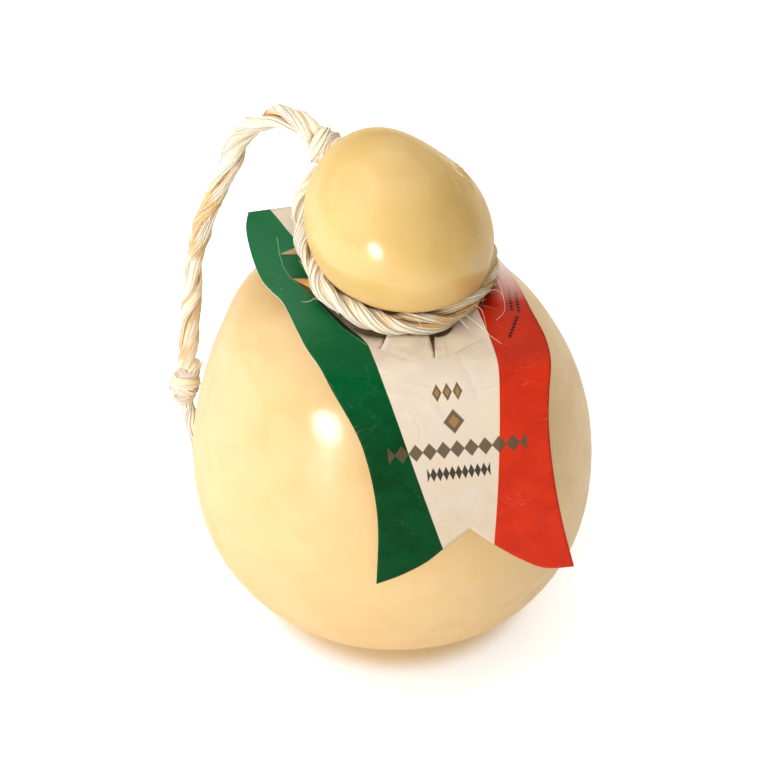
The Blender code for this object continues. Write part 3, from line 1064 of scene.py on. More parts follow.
# %% Sizes of the cheese
BODY_RADIUS = 0.0731
BODY_WIDEST_Z = 0.0609
BODY_DEPTH_BELOW = 0.0625
BODY_HEIGHT_ABOVE = 0.103
BODY_FULLNESS_BELOW = 2.37
BODY_FULLNESS_ABOVE = 1.80
BASE_SPOT_RADIUS = 0.022
SHOULDER_RADIUS = 0.050
HEAD_RADIUS = 0.0304
HEAD_Z = 0.1688
HEAD_FULLNESS = 1.0594
HEAD_LONG_DIRECTION = Vector((0.38, -0.70, -0.61)).normalized()
HEAD_LONG_STRETCH = 1.122
HEAD_SHORT_DIRECTION = Vector((0.86, 0.45, 0.24)).normalized()
HEAD_SHORT_STRETCH = 0.946
HEAD_FLAT_DIRECTION = Vector((0.51, 0.49, 0.71)).normalized()
HEAD_FLAT_DEPTH = 0.0029
HEAD_FLAT_SPREAD = 0.141
HEAD_SHAPED_FROM_Z = 0.1515
HEAD_SHAPED_FULLY_Z = 0.1606
NECK_TOP_Z = 0.1532
NECK_PULL = (0.0232, 0.1455)
SHOULDER_PULL_LENGTH = 0.015
LEAN = (
    # height, shift along X, shift along Y
    (0.000, 0.0046, 0.0000),
    (0.022, 0.0021, 0.0000),
    (0.045, 0.0008, 0.0000),
    (0.070, 0.0006, 0.0000),
    (0.095, 0.0000, 0.0000),
    (0.115, -0.0017, 0.0000),
    (0.130, -0.0036, -0.0004),
    (0.150, 0.0034, -0.0013),
    (0.160, 0.0024, -0.0001),
    (0.175, 0.0023, -0.0031),
    (0.204, 0.0023, -0.0031),
)

# %% [markdown]
# The sizes above are the solid model's own. Only these say how finely the shape is drawn, and
# they are several times finer here, so that no facet shows in the highlight.

# %% How finely the cheese is drawn
CHEESE_SEGMENTS = 240
HEAD_STEPS = 34
NECK_STEPS = 20
BODY_STEPS = 40
OUTLINE_SPACING = 0.0011


# %% The cheese's outline
def height_above(radius):
    """Height of the body's upper surface at a radius."""
    share = radius / BODY_RADIUS
    rise = (1.0 - share ** BODY_FULLNESS_ABOVE) ** (1.0 / BODY_FULLNESS_ABOVE)
    return BODY_WIDEST_Z + BODY_HEIGHT_ABOVE * rise


def radius_below(height):
    """Half width of the body at a height below its widest level."""
    share = (BODY_WIDEST_Z - height) / BODY_DEPTH_BELOW
    return BODY_RADIUS * (1.0 - share ** BODY_FULLNESS_BELOW) ** (1.0 / BODY_FULLNESS_BELOW)


def neck_outline():
    """The hollow of the neck, from under the head to the shoulder, as a cubic curve."""
    start = Vector((math.sqrt(HEAD_RADIUS ** 2 - (NECK_TOP_Z - HEAD_Z) ** 2), NECK_TOP_Z))
    end = Vector((SHOULDER_RADIUS, height_above(SHOULDER_RADIUS)))
    below = Vector((SHOULDER_RADIUS + 0.001, height_above(SHOULDER_RADIUS + 0.001)))
    end_pull = end - (below - end).normalized() * SHOULDER_PULL_LENGTH
    points = []
    for step in range(NECK_STEPS):
        share = step / NECK_STEPS
        rest = 1.0 - share
        points.append(
            rest ** 3 * start
            + 3.0 * rest ** 2 * share * Vector(NECK_PULL)
            + 3.0 * rest * share ** 2 * end_pull
            + share ** 3 * end
        )
    return points


def cheese_outline():
    """Radius and height from the crown of the head to the middle of the base."""
    neck_angle = math.acos((NECK_TOP_Z - HEAD_Z) / HEAD_RADIUS)
    points = []
    for step in range(HEAD_STEPS):
        angle = neck_angle * step / HEAD_STEPS
        points.append(Vector((HEAD_RADIUS * math.sin(angle), HEAD_Z + HEAD_RADIUS * math.cos(angle))))
    points += neck_outline()
    start_angle = math.asin(SHOULDER_RADIUS / BODY_RADIUS)
    for step in range(BODY_STEPS + 1):
        angle = start_angle + (math.pi / 2 - start_angle) * step / BODY_STEPS
        radius = BODY_RADIUS * math.sin(angle)
        points.append(Vector((radius, height_above(radius))))
    for step in range(1, BODY_STEPS):
        height = BODY_WIDEST_Z * math.cos(math.pi / 2 * step / BODY_STEPS)
        points.append(Vector((radius_below(height), height)))
    points.append(Vector((BASE_SPOT_RADIUS, 0.0)))
    points.append(Vector((0.0, 0.0)))
    return points


def lean_at(height):
    """Sideways shift of the cheese's middle at a height."""
    points = [Vector(point) for point in LEAN]
    last = len(points) - 2
    index = next((i for i in range(last) if height <= points[i + 1].x), last)
    share = (height - points[index].x) / (points[index + 1].x - points[index].x)
    lean = on_curve(points, index + min(max(share, 0.0), 1.0))
    return Vector((lean.y, lean.z, 0.0))


half_outline = [(point.x, 0.0, point.y) for point in cheese_outline()]
outline = evenly_along(half_outline, OUTLINE_SPACING, fine=6)
print("the outline has", len(outline), "points")

# %% [markdown]
# The unevenness is a push along the surface's own outward direction. Slow noise gives the hand
# of the maker. A dent is a smooth hollow round one point. A gather in the film is a thin ridge
# along a line, highest in its middle.

# %% Dents and gathers
SLOW_UNEVENNESS = 0.00035
FINE_UNEVENNESS = 0.00012
GATHER_REACH = 0.03
RELIEF_FULL_Z = 0.006
FILM_GATHERS = (
    # start, end, height of the ridge, its width
    ((0.0167, 0.0043, 0.1938), (0.0240, -0.0061, 0.1901), 0.00075, 0.0009),
    ((0.0186, 0.0039, 0.1923), (0.0259, -0.0065, 0.1879), 0.00065, 0.0009),
    ((0.0207, 0.0022, 0.1913), (0.0254, -0.0051, 0.1885), 0.00080, 0.0008),
    ((0.0226, 0.0006, 0.1903), (0.0274, -0.0076, 0.1862), 0.00040, 0.0009),
    ((0.0153, 0.0050, 0.1945), (0.0213, -0.0056, 0.1927), 0.00025, 0.0009),
    ((0.0300, -0.0440, 0.0130), (0.0150, -0.0330, 0.0050), 0.00035, 0.0010),
    ((0.0360, -0.0430, 0.0165), (0.0190, -0.0300, 0.0045), 0.00030, 0.0010),
    ((0.0250, -0.0500, 0.0160), (0.0110, -0.0340, 0.0048), 0.00030, 0.0010),
)
DENTS = (
    # centre, radius, depth
    ((0.0191, -0.0216, 0.1886), 0.0090, 0.00050),
    ((0.0163, -0.0284, 0.1839), 0.0080, 0.00035),
    ((0.0255, -0.0120, 0.1860), 0.0060, 0.00040),
    ((0.0520, -0.0350, 0.1120), 0.0160, 0.00040),
    ((-0.0450, -0.0500, 0.0600), 0.0220, 0.00035),
    ((0.0480, -0.0530, 0.0400), 0.0045, 0.00080),
    ((0.0403, -0.0567, 0.0340), 0.0045, 0.00060),
    ((0.0319, -0.0595, 0.0297), 0.0045, 0.00050),
)


def ridge_at(point, start, end, height, width):
    """Height of a ridge along a line, at a point."""
    start = Vector(start)
    run = Vector(end) - start
    share = min(max((point - start).dot(run) / run.length_squared, 0.0), 1.0)
    away = (point - start - run * share).length / width
    return height * math.exp(-away * away) * math.sin(math.pi * (0.1 + 0.8 * share))


def rind_relief(point):
    """How far the rind stands proud of the plain turned shape."""
    push = SLOW_UNEVENNESS * noise.noise(point * 30.0)
    push += FINE_UNEVENNESS * noise.noise(point * 85.0)
    for centre, radius, depth_in in DENTS:
        away = (point - Vector(centre)).length / radius
        push -= depth_in * math.exp(-away * away)
    for start, end, height, width in FILM_GATHERS:
        if (point - Vector(start)).length < GATHER_REACH:
            push += ridge_at(point, start, end, height, width)
    return push * smooth_step(0.0, RELIEF_FULL_Z, point.z)


# %% [markdown]
# The head was tied off by hand, so it is no true ball. Each turned point above the neck is moved:
# outwards a little, farther along the head's long direction, inwards along its short one, and in
# again where the crown is pressed flat.


# %% The shape of the head
def shape_head(point):
    """Fill out the head, stretch it one way, thin it another and press it a little flat."""
    rise = smooth_step(HEAD_SHAPED_FROM_Z, HEAD_SHAPED_FULLY_Z, point.z)
    from_head = point - Vector((0.0, 0.0, HEAD_Z))
    off_flat = 1.0 - from_head.normalized().dot(HEAD_FLAT_DIRECTION)
    change = (HEAD_FULLNESS - 1.0) * from_head
    change += (HEAD_LONG_STRETCH - 1.0) * from_head.dot(HEAD_LONG_DIRECTION) * HEAD_LONG_DIRECTION
    change += (HEAD_SHORT_STRETCH - 1.0) * from_head.dot(HEAD_SHORT_DIRECTION) * HEAD_SHORT_DIRECTION
    change -= HEAD_FLAT_DEPTH * math.exp(-off_flat / HEAD_FLAT_SPREAD) * HEAD_FLAT_DIRECTION
    return point + rise * change


# %% [markdown]
# Now the outline is turned: a ring of points at each of its steps, four-sided faces between the
# rings, and a fan at the crown and at the base. A Screw modifier could turn it too, but each
# point has to be leaned and shaped here. The relief comes last, along the finished normals.

# %% Build the cheese
cheese_points = []
for ring_point in outline[1:-1]:
    lean = lean_at(ring_point.z)
    for segment in range(CHEESE_SEGMENTS):
        turn = 2.0 * math.pi * segment / CHEESE_SEGMENTS
        plain = Vector((ring_point.x * math.cos(turn), ring_point.x * math.sin(turn), ring_point.z))
        cheese_points.append(shape_head(plain) + lean)
crown = len(cheese_points)
for end_point in (outline[0], outline[-1]):
    cheese_points.append(shape_head(end_point) + lean_at(end_point.z))
cheese_faces = []
ring_count = len(outline) - 2
for ring_index in range(ring_count - 1):
    upper = ring_index * CHEESE_SEGMENTS
    lower = upper + CHEESE_SEGMENTS
    for segment in range(CHEESE_SEGMENTS):
        beside = (segment + 1) % CHEESE_SEGMENTS
        cheese_faces.append((upper + segment, lower + segment, lower + beside, upper + beside))
bottom = (ring_count - 1) * CHEESE_SEGMENTS
for segment in range(CHEESE_SEGMENTS):
    beside = (segment + 1) % CHEESE_SEGMENTS
    cheese_faces.append((crown, segment, beside))
    cheese_faces.append((crown + 1, bottom + beside, bottom + segment))
cheese = add_piece("cheese_rind", cheese_points, cheese_faces, [rind])
outward = [vertex.normal.copy() for vertex in cheese.data.vertices]
for vertex, direction in zip(cheese.data.vertices, outward):
    vertex.co += direction * rind_relief(vertex.co)
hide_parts("cheese")

# %% [markdown]
# ## The card label
# The label is cut from one sheet of printed card with a hole for the neck. The maker slips it
# over the head, so the card round the hole is slit into tabs that fold where the neck spreads
# them. A flat sheet can only bend, never stretch, so the card is drawn flat first, in its own
# coordinates: u to the right and v down from the middle of the hole. Then each flat point is
# carried to its place: level round the neck, over a bend and down the front.

# %% Sizes of the card
CARD_THICKNESS = 0.0004
CARD_MESH_STEP = 0.0010
CARD_TURN = math.radians(9.3)
CARD_SHIFT_X = 0.0040
COLLAR_Z = 0.1483
COLLAR_FRONT = 0.0453
BEND_RADIUS = 0.009
BEND_ANGLE = math.radians(66.0)
FALL_RADIUS = 0.260

# %% The card's outline, as points (u, v)
CARD_LEFT_SIDE = (
    (-0.0460, -0.0422),
    (-0.0484, -0.0330),
    (-0.0490, -0.0190),
    (-0.0482, -0.0060),
    (-0.0460, 0.0015),
    (-0.0432, 0.0085),
    (-0.0412, 0.0240),
    (-0.0398, 0.0335),
    (-0.0362, 0.0472),
    (-0.0306, 0.0658),
    (-0.0289, 0.0780),
    (-0.0288, 0.0920),
    (-0.0303, 0.1060),
    (-0.0345, 0.1262),
)
CARD_LEFT_TAIL = (
    (-0.0345, 0.1262),
    (-0.0260, 0.1243),
    (-0.0168, 0.1208),
    (-0.0101, 0.1165),
    (0.0003, 0.1098),
)
CARD_RIGHT_TAIL = (
    (0.0003, 0.1098),
    (0.0073, 0.1182),
    (0.0151, 0.1262),
    (0.0229, 0.1320),
    (0.0327, 0.1336),
)
CARD_RIGHT_SIDE = (
    (0.0327, 0.1336),
    (0.0313, 0.1140),
    (0.0310, 0.0960),
    (0.0320, 0.0780),
    (0.0342, 0.0650),
    (0.0369, 0.0540),
    (0.0379, 0.0430),
    (0.0369, 0.0290),
    (0.0364, 0.0150),
    (0.0352, 0.0060),
    (0.0326, -0.0030),
    (0.0310, -0.0110),
    (0.0306, -0.0200),
    (0.0318, -0.0310),
    (0.0338, -0.0415),
)

# %% [markdown]
# The hole is cut a little unevenly. Round it the card folds along a ring of short straight runs.
# A slit, where there is one, leads from a corner of that ring in to the hole and gapes there.
# Between two slits each tab has its own fold: down into the hollow of the neck, or up. A tab
# could be an object of its own, but then its fold would show as a seam in the print.

# %% Hole, slits and tabs
CARD_EDGE_STEP = 0.0009
HOLE_EDGE = (
    (-0.0014, -0.0280),
    (-0.0140, -0.0262),
    (-0.0245, -0.0232),
    (-0.0308, -0.0190),
    (-0.0312, -0.0110),
    (-0.0308, -0.0030),
    (-0.0300, 0.0050),
    (-0.0272, 0.0125),
    (-0.0232, 0.0195),
    (-0.0185, 0.0250),
    (-0.0130, 0.0295),
    (-0.0066, 0.0324),
    (-0.0005, 0.0338),
    (0.0040, 0.0352),
    (0.0078, 0.0337),
    (0.0106, 0.0300),
    (0.0135, 0.0250),
    (0.0175, 0.0200),
    (0.0215, 0.0140),
    (0.0240, 0.0060),
    (0.0258, -0.0030),
    (0.0256, -0.0120),
    (0.0210, -0.0195),
    (0.0125, -0.0252),
)
FOLD_CORNERS = (
    # corner of the ring, inner end of the slit, gape, fold before and after in degrees
    ((-0.0345, -0.0340), (-0.0245, -0.0232), 0.0, 0.0, -2.0),
    ((-0.0387, -0.0262), (-0.0290, -0.0212), 0.0, -7.0, -7.0),
    ((-0.0396, -0.0172), (-0.0311, -0.0178), 0.0026, -7.0, 9.0),
    ((-0.0396, -0.0098), (-0.0312, -0.0100), 0.0, 13.0, 13.0),
    ((-0.0383, -0.0038), (-0.0308, -0.0032), 0.0030, 15.0, 34.0),
    ((-0.0340, 0.0050), (-0.0270, 0.0030), 0.0, 40.0, 40.0),
    ((-0.0300, 0.0150), (-0.0230, 0.0128), 0.0, 42.0, 42.0),
    ((-0.0266, 0.0248), (-0.0203, 0.0214), 0.0, 38.0, 38.0),
    ((-0.0212, 0.0340), (-0.0160, 0.0272), 0.0, 22.0, 22.0),
    ((-0.0167, 0.0385), (-0.0125, 0.0298), 0.0005, 10.0, 1.0),
    ((-0.0002, 0.0467), (0.0012, 0.0345), 0.0018, 1.0, 5.0),
    ((0.0068, 0.0455), (0.0068, 0.0343), 0.0, 6.0, 6.0),
    ((0.0176, 0.0401), (0.0132, 0.0288), 0.0, 6.0, 6.0),
    ((0.0262, 0.0272), (0.0180, 0.0200), 0.0005, 5.0, 20.0),
    ((0.0286, 0.0193), (0.0215, 0.0140), 0.0008, 20.0, 22.0),
    ((0.0302, 0.0100), (0.0232, 0.0088), 0.0, 22.0, 22.0),
    ((0.0304, 0.0020), (0.0240, 0.0020), 0.0, 12.0, 12.0),
    ((0.0290, -0.0100), (0.0262, -0.0100), 0.0, 0.0, 0.0),
)
FOLD_SOFTNESS = 0.0007
folds = [
    (Vector(corner), Vector(inner), gape, before, after)
    for corner, inner, gape, before, after in FOLD_CORNERS
]
print("the ring of folds has", len(folds), "corners")


# %% Which tab a point lies on
NO_TAB = (0.0, Vector((0.0, 1.0)), 0.0)
HOLLOW_DEEP_INSIDE = 0.0045
HOLLOW_FOLDS = (12.0, 34.0)


def cross(first, second):
    """Above 0 when the second flat direction lies clockwise of the first, with v down."""
    return first.x * second.y - first.y * second.x


def in_ring(flat):
    """Whether a flat point lies inside the ring of fold corners."""
    crossings = 0
    for index, (start, *_) in enumerate(folds):
        end = folds[(index + 1) % len(folds)][0]
        if (start.y > flat.y) != (end.y > flat.y):
            share = (flat.y - start.y) / (end.y - start.y)
            crossings += start.x + (end.x - start.x) * share > flat.x
    return crossings % 2 == 1


def tab_at(flat):
    """How far a flat point lies inside its fold, the fold's inward direction and its angle."""
    if not in_ring(flat):
        return NO_TAB
    for (corner, inner, _, _, fold), (far_corner, far_inner, _, far_fold, _) in zip(folds, folds[1:]):
        run = far_corner - corner
        inward = Vector((run.y, -run.x)).normalized()
        inside = (flat - corner).dot(inward)
        after_slit = cross(inner - corner, flat - corner) >= 0.0
        before_slit = cross(far_inner - far_corner, flat - far_corner) < 0.0
        if inside > 0.0 and after_slit and before_slit:
            share = min(max((flat - corner).dot(run) / run.length_squared, 0.0), 1.0)
            return inside, inward, math.radians(fold + (far_fold - fold) * share)
    return NO_TAB


# The depth in the hollow sets how much painted shade a folded tab gets.
def hollow_at(flat):
    """How deep in the hollow of the neck a flat point lies once its tab is folded down, 0 to 1."""
    inside, _, fold = tab_at(flat)
    steep = smooth_step(*HOLLOW_FOLDS, math.degrees(fold))
    return smooth_step(0.0, HOLLOW_DEEP_INSIDE, inside) * steep


# %% [markdown]
# Each slit that gapes is cut out of the card as a thin wedge: from its mouth at the hole to its
# corner on the ring and back again. The points of the hole's edge inside the mouth are dropped.


# %% Cut the slits
SLIT_CLEARANCE = 0.0004


def flat_line(points, spacing):
    """Flat points along a soft curve through given ones, without the last one."""
    line = evenly_along([(u, v, 0.0) for u, v in points], spacing)
    return [Vector((point.x, point.y)) for point in line[:-1]]


def hole_with_slits():
    """The hole's edge, with each slit cut out of the card as a thin wedge."""
    edge = flat_line([*HOLE_EDGE, HOLE_EDGE[0]], CARD_EDGE_STEP)
    for corner, inner, gape, _, _ in folds:
        if gape == 0.0:
            continue
        nearest = min(range(len(edge)), key=lambda index: (edge[index] - inner).length)
        mouth = edge[nearest]
        across = Vector((corner.y - mouth.y, mouth.x - corner.x)).normalized() * 0.5 * gape
        steps = max(2, round((corner - mouth).length / CARD_EDGE_STEP))
        shares = [step / steps for step in range(steps)]
        there = [(mouth - across).lerp(corner, share) for share in shares]
        back = [(mouth + across).lerp(corner, share) for share in shares]
        wide = 0.5 * gape + SLIT_CLEARANCE
        before = [point for point in edge[:nearest] if (point - mouth).length > wide]
        after = [point for point in edge[nearest:] if (point - mouth).length > wide]
        edge = [*before, *there, corner, *reversed(back), *after]
    return edge


hole_edge = hole_with_slits()
print("the hole's edge has", len(hole_edge), "points")

# %% [markdown]
# A mesh of small even triangles bends well. Blender's Delaunay helper fills the outline with
# them and keeps the hole and the slits as exact edges, with points along every fold. Long thin
# triangles come from grid points that lie too close to an edge, so those are dropped first.

# %% Fill the flat card
GRID_START = (-0.0495, -0.0430)
GRID_WIDTH = 0.090
GRID_HEIGHT = 0.180
EDGE_CLEARANCE = 0.62 * CARD_MESH_STEP
INSIDE_WITHOUT_HOLES = 2
MERGE_DISTANCE = 1e-7


def fill_card():
    """Flat points and triangles of the card."""
    rim = []
    for section in (CARD_LEFT_SIDE, CARD_LEFT_TAIL, CARD_RIGHT_TAIL, CARD_RIGHT_SIDE):
        rim += flat_line(section, CARD_MESH_STEP)
    rim += flat_line((CARD_RIGHT_SIDE[-1], CARD_LEFT_SIDE[0]), CARD_MESH_STEP)
    fold = []
    for (corner, _, gape, _, _), (far_corner, *_) in zip(folds, folds[1:]):
        steps = round((far_corner - corner).length / CARD_EDGE_STEP)
        first = 1 if gape else 0
        fold += [corner.lerp(far_corner, step / steps) for step in range(first, steps)]
    edges = KDTree(len(rim) + len(hole_edge) + len(fold))
    for index, point in enumerate(rim + hole_edge + fold):
        edges.insert((point.x, point.y, 0.0), index)
    edges.balance()
    grid = []
    row_step = CARD_MESH_STEP * math.sqrt(0.75)
    for row in range(int(GRID_HEIGHT / row_step)):
        for column in range(int(GRID_WIDTH / CARD_MESH_STEP)):
            u = GRID_START[0] + (column + 0.5 * (row % 2)) * CARD_MESH_STEP
            v = GRID_START[1] + row * row_step
            if edges.find((u, v, 0.0))[2] > EDGE_CLEARANCE:
                grid.append(Vector((u, v)))
    loops = [list(range(len(rim))), list(range(len(rim), len(rim) + len(hole_edge)))]
    everything = rim + hole_edge + fold + grid
    filled_card = geometry.delaunay_2d_cdt(everything, [], loops, INSIDE_WITHOUT_HOLES, MERGE_DISTANCE)
    points, _, faces, *_ = filled_card
    return points, [tuple(face) for face in faces]


flat_points, card_faces = fill_card()
print("the flat card has", len(card_faces), "triangles")

# %% [markdown]
# Handling leaves its mark: shallow creases across the front, soft waves, and a corner of the
# collar that droops. A crease is a line in flat coordinates with a height and a width, a wave is
# slow noise, and the droop grows with the square of the distance past a line.

# %% Creases, waves and droop
CARD_CREASES = (
    # start and end (u, v), height, width
    ((-0.0120, 0.0640), (-0.0040, 0.0634), 0.00022, 0.0009),
    ((0.0050, 0.0594), (0.0190, 0.0596), 0.00030, 0.0011),
    ((-0.0217, 0.0530), (-0.0077, 0.0584), 0.00028, 0.0012),
    ((-0.0167, 0.0385), (-0.0085, 0.0445), -0.00025, 0.0009),
    ((0.0029, 0.0455), (0.0182, 0.0404), -0.00030, 0.0009),
    ((0.0194, 0.0530), (0.0352, 0.0584), 0.00030, 0.0009),
    ((0.0181, 0.1142), (0.0305, 0.1035), 0.00035, 0.0018),
    ((-0.0333, 0.0538), (-0.0204, 0.0519), 0.00025, 0.0010),
    ((0.0235, 0.0336), (0.0367, 0.0356), 0.00025, 0.0010),
    ((-0.0060, 0.0560), (-0.0020, 0.0700), 0.00015, 0.0012),
    ((0.0080, 0.0480), (0.0110, 0.0620), -0.00018, 0.0011),
    ((-0.0150, 0.0960), (0.0000, 0.0900), 0.00014, 0.0016),
)
WAVE_HEIGHT = 0.00030
WAVE_PACE = 28.0
DROOP_FROM_U = 0.0255
DROOP_STRENGTH = 15.0
DROOP_ENDS_V = (0.004, 0.030)


def crease_height(flat):
    """How far creases lift the card at a flat point."""
    lift = 0.0
    for start, end, height, width in CARD_CREASES:
        start = Vector(start)
        run = Vector(end) - start
        share = min(max((flat - start).dot(run) / run.length_squared, 0.0), 1.0)
        away = (flat - start - run * share).length / width
        lift += height * math.exp(-away * away)
    return lift


# %% [markdown]
# Down the card its shape is one line: level on the collar, a tight bend, and then a very slow
# one down the front. A cloth simulation would let the card stretch and sag, and card does neither.
# So each flat point is turned with the card, led along that line, and lifted off it by its
# creases, its wave and its tab's fold.


# %% Bend the card
def card_at(path):
    """Y, Z and the card's steepness at a distance down the card."""
    if path <= COLLAR_FRONT:
        return -path, COLLAR_Z, 0.0
    bend_length = BEND_RADIUS * BEND_ANGLE
    angle = min((path - COLLAR_FRONT) / BEND_RADIUS, BEND_ANGLE)
    y = -COLLAR_FRONT - BEND_RADIUS * math.sin(angle)
    z = COLLAR_Z - BEND_RADIUS * (1.0 - math.cos(angle))
    fallen = path - COLLAR_FRONT - bend_length
    if fallen > 0.0:
        steep = BEND_ANGLE + fallen / FALL_RADIUS
        y -= FALL_RADIUS * (math.sin(steep) - math.sin(BEND_ANGLE))
        z -= FALL_RADIUS * (math.cos(BEND_ANGLE) - math.cos(steep))
        angle = steep
    return y, z, angle


def place_flat_point(flat):
    """Carry a flat point of the card to its place on the cheese."""
    flat = flat.copy()
    wave = noise.noise(Vector((flat.x * WAVE_PACE, flat.y * WAVE_PACE, 2.0)))
    lift = crease_height(flat) + WAVE_HEIGHT * wave
    beyond = max(flat.x - DROOP_FROM_U, 0.0)
    lift -= DROOP_STRENGTH * beyond * beyond * (1.0 - smooth_step(*DROOP_ENDS_V, flat.y))
    inside, inward, fold = tab_at(flat)
    fold *= smooth_step(0.0, FOLD_SOFTNESS, inside)
    flat -= inward * inside * (1.0 - math.cos(fold))
    lift -= inside * math.sin(fold)
    x = flat.x * math.cos(CARD_TURN) + flat.y * math.sin(CARD_TURN) + CARD_SHIFT_X
    path = flat.y * math.cos(CARD_TURN) - flat.x * math.sin(CARD_TURN)
    y, z, angle = card_at(path)
    lift += 0.5 * CARD_THICKNESS
    return Vector((x, y - lift * math.sin(angle), z + lift * math.cos(angle)))


card_points = [place_flat_point(point) for point in flat_points]
print("the card reaches down to z =", round(min(point.z for point in card_points), 4))

# %% [markdown]
# ## The print on the card
# The print is three stripes, a small ornament and rows of lozenges, all plain shapes. It could
# be painted as an image, but an image has a fixed sharpness. Here each edge is worked out from
# the flat coordinates, which the card carries as a UV map, so it stays sharp at any distance.
# The stripes' edges bend gently, so each is a curve of u over v.

# %% Node group: a row of lozenges
lozenges, given, result = new_group(
    "row of lozenges",
    [
        ("Place", "NodeSocketVector", None),
        ("Middle", "NodeSocketVector", (0.0, 0.0, 0.0)),
        ("Turn", "NodeSocketFloat", 0.0),
        ("Spacing", "NodeSocketFloat", 5.0),
        ("Half Width", "NodeSocketFloat", 2.0),
        ("Half Height", "NodeSocketFloat", 3.0),
        ("Half Length", "NodeSocketFloat", 20.0),
        ("Softness", "NodeSocketFloat", 0.12),
    ],
    [("Mask", "NodeSocketFloat"), ("Rim", "NodeSocketFloat")],
)
from_row = vector_node(lozenges, "SUBTRACT", {0: given["Place"], 1: given["Middle"]})
turned = add_node(
    lozenges,
    "ShaderNodeVectorRotate",
    {"Vector": from_row, "Angle": given["Turn"]},
    rotation_type="Z_AXIS",
).outputs[0]
axes = add_node(lozenges, "ShaderNodeSeparateXYZ", {0: turned}).outputs
half_spacing = times(lozenges, given["Spacing"], 0.5)
from_cell_start = math_node(
    lozenges,
    "FLOORED_MODULO",
    math_node(lozenges, "ADD", axes["X"], half_spacing),
    given["Spacing"],
)
in_cell = math_node(lozenges, "SUBTRACT", from_cell_start, half_spacing)
across = math_node(lozenges, "ABSOLUTE", in_cell)
along = math_node(lozenges, "ABSOLUTE", axes["Y"])
wide = math_node(lozenges, "DIVIDE", across, given["Half Width"])
high = math_node(lozenges, "DIVIDE", along, given["Half Height"])
size = math_node(lozenges, "ADD", wide, high)
filled = ramp(lozenges, size, math_node(lozenges, "ADD", 1.0, given["Softness"]), 1.0)
rim = ramp(lozenges, size, 0.5, 0.62)
off_row_middle = math_node(lozenges, "ABSOLUTE", axes["X"])
within = math_node(lozenges, "LESS_THAN", off_row_middle, given["Half Length"])
lozenge_mask = times(lozenges, filled, within)
lozenges.links.new(lozenge_mask, result.inputs["Mask"])
lozenges.links.new(times(lozenges, lozenge_mask, rim), result.inputs["Rim"])
print("group:", lozenges.name)

# %% [markdown]
# The stripes' edges are not straight, because the card was trimmed a little crooked and lies
# turned. A Float Curve node holds each edge as a few points. It works between 0 and 1, so a ramp
# goes before it and another one after it.

# %% The stripes' edges, as points (v, u) in millimetres
V_START = -50.0
V_END = 140.0
U_HALF = 50.0
EDGE_SOFTNESS = 0.1
GREEN_EDGE = (
    (-41.3, -38.0),
    (-32.7, -35.4),
    (21.0, -23.0),
    (33.4, -20.2),
    (45.0, -19.4),
    (57.8, -17.5),
    (90.1, -13.3),
    (116.1, -9.9),
)
RED_EDGE = (
    (-41.3, 25.8),
    (0.0, 21.5),
    (24.5, 19.8),
    (36.9, 19.9),
    (52.7, 19.4),
    (60.0, 18.4),
    (86.7, 13.8),
    (118.2, 7.3),
)


def stripe_edge(tree, down, points):
    """The u of a stripe's edge for a v, both in millimetres."""
    share = ramp(tree, down, V_START, V_END)
    curve_node = add_node(tree, "ShaderNodeFloatCurve", {"Value": share})
    curve = curve_node.mapping.curves[0]
    places = [((v - V_START) / (V_END - V_START), 0.5 + u / (2.0 * U_HALF)) for v, u in points]
    curve.points[0].location = places[0]
    curve.points[1].location = places[-1]
    for place_on_curve in places[1:-1]:
        curve.points.new(*place_on_curve)
    curve_node.mapping.update()
    return ramp(tree, curve_node.outputs["Value"], 0.0, 1.0, low=-U_HALF, high=U_HALF)


# %% Material: where the stripes are
printed, tree, shader = new_material("printed_card")
flat_uv = add_node(tree, "ShaderNodeUVMap", uv_map="flat").outputs["UV"]
flat_mm = vector_node(tree, "SCALE", {0: flat_uv, "Scale": 1000.0})
flat_parts = add_node(tree, "ShaderNodeSeparateXYZ", {0: flat_mm}).outputs
over = flat_parts["X"]
down = flat_parts["Y"]
past_green = math_node(tree, "SUBTRACT", over, stripe_edge(tree, down, GREEN_EDGE))
past_red = math_node(tree, "SUBTRACT", over, stripe_edge(tree, down, RED_EDGE))
past_green_mask = ramp(tree, past_green, -EDGE_SOFTNESS, EDGE_SOFTNESS)
past_red_mask = ramp(tree, past_red, -EDGE_SOFTNESS, EDGE_SOFTNESS)
print("card: three stripes")

# %% [markdown]
# Each stripe has its own ink, and none is even. The green and the white get darker down the card,
# and clouds fade all three in places. The white is also brightest just below the collar, which is
# painted light.

# %% Material: the stripes' inks
CARD_WHITE = (0.655, 0.560, 0.435, 1.0)
CARD_WHITE_PAINTED_LIGHT = (0.80, 0.69, 0.54, 1.0)
CARD_WHITE_LOW = (0.525, 0.420, 0.295, 1.0)
CARD_WHITE_FADED = (0.56, 0.48, 0.42, 1.0)
CARD_GREEN = (0.0, 0.118, 0.035, 1.0)
CARD_GREEN_LOW = (0.0, 0.036, 0.006, 1.0)
CARD_GREEN_FADED = (0.0, 0.130, 0.045, 1.0)
CARD_RED = (0.48, 0.025, 0.006, 1.0)
CARD_RED_FADED = (0.37, 0.016, 0.005, 1.0)
GREEN_DARKENS_V = (20.0, 70.0)
WHITE_DARKENS_V = (38.0, 105.0)
WHITE_PAINTED_LIGHT_STARTS_V = (10.0, 24.0)
WHITE_PAINTED_LIGHT_ENDS_V = (52.0, 36.0)

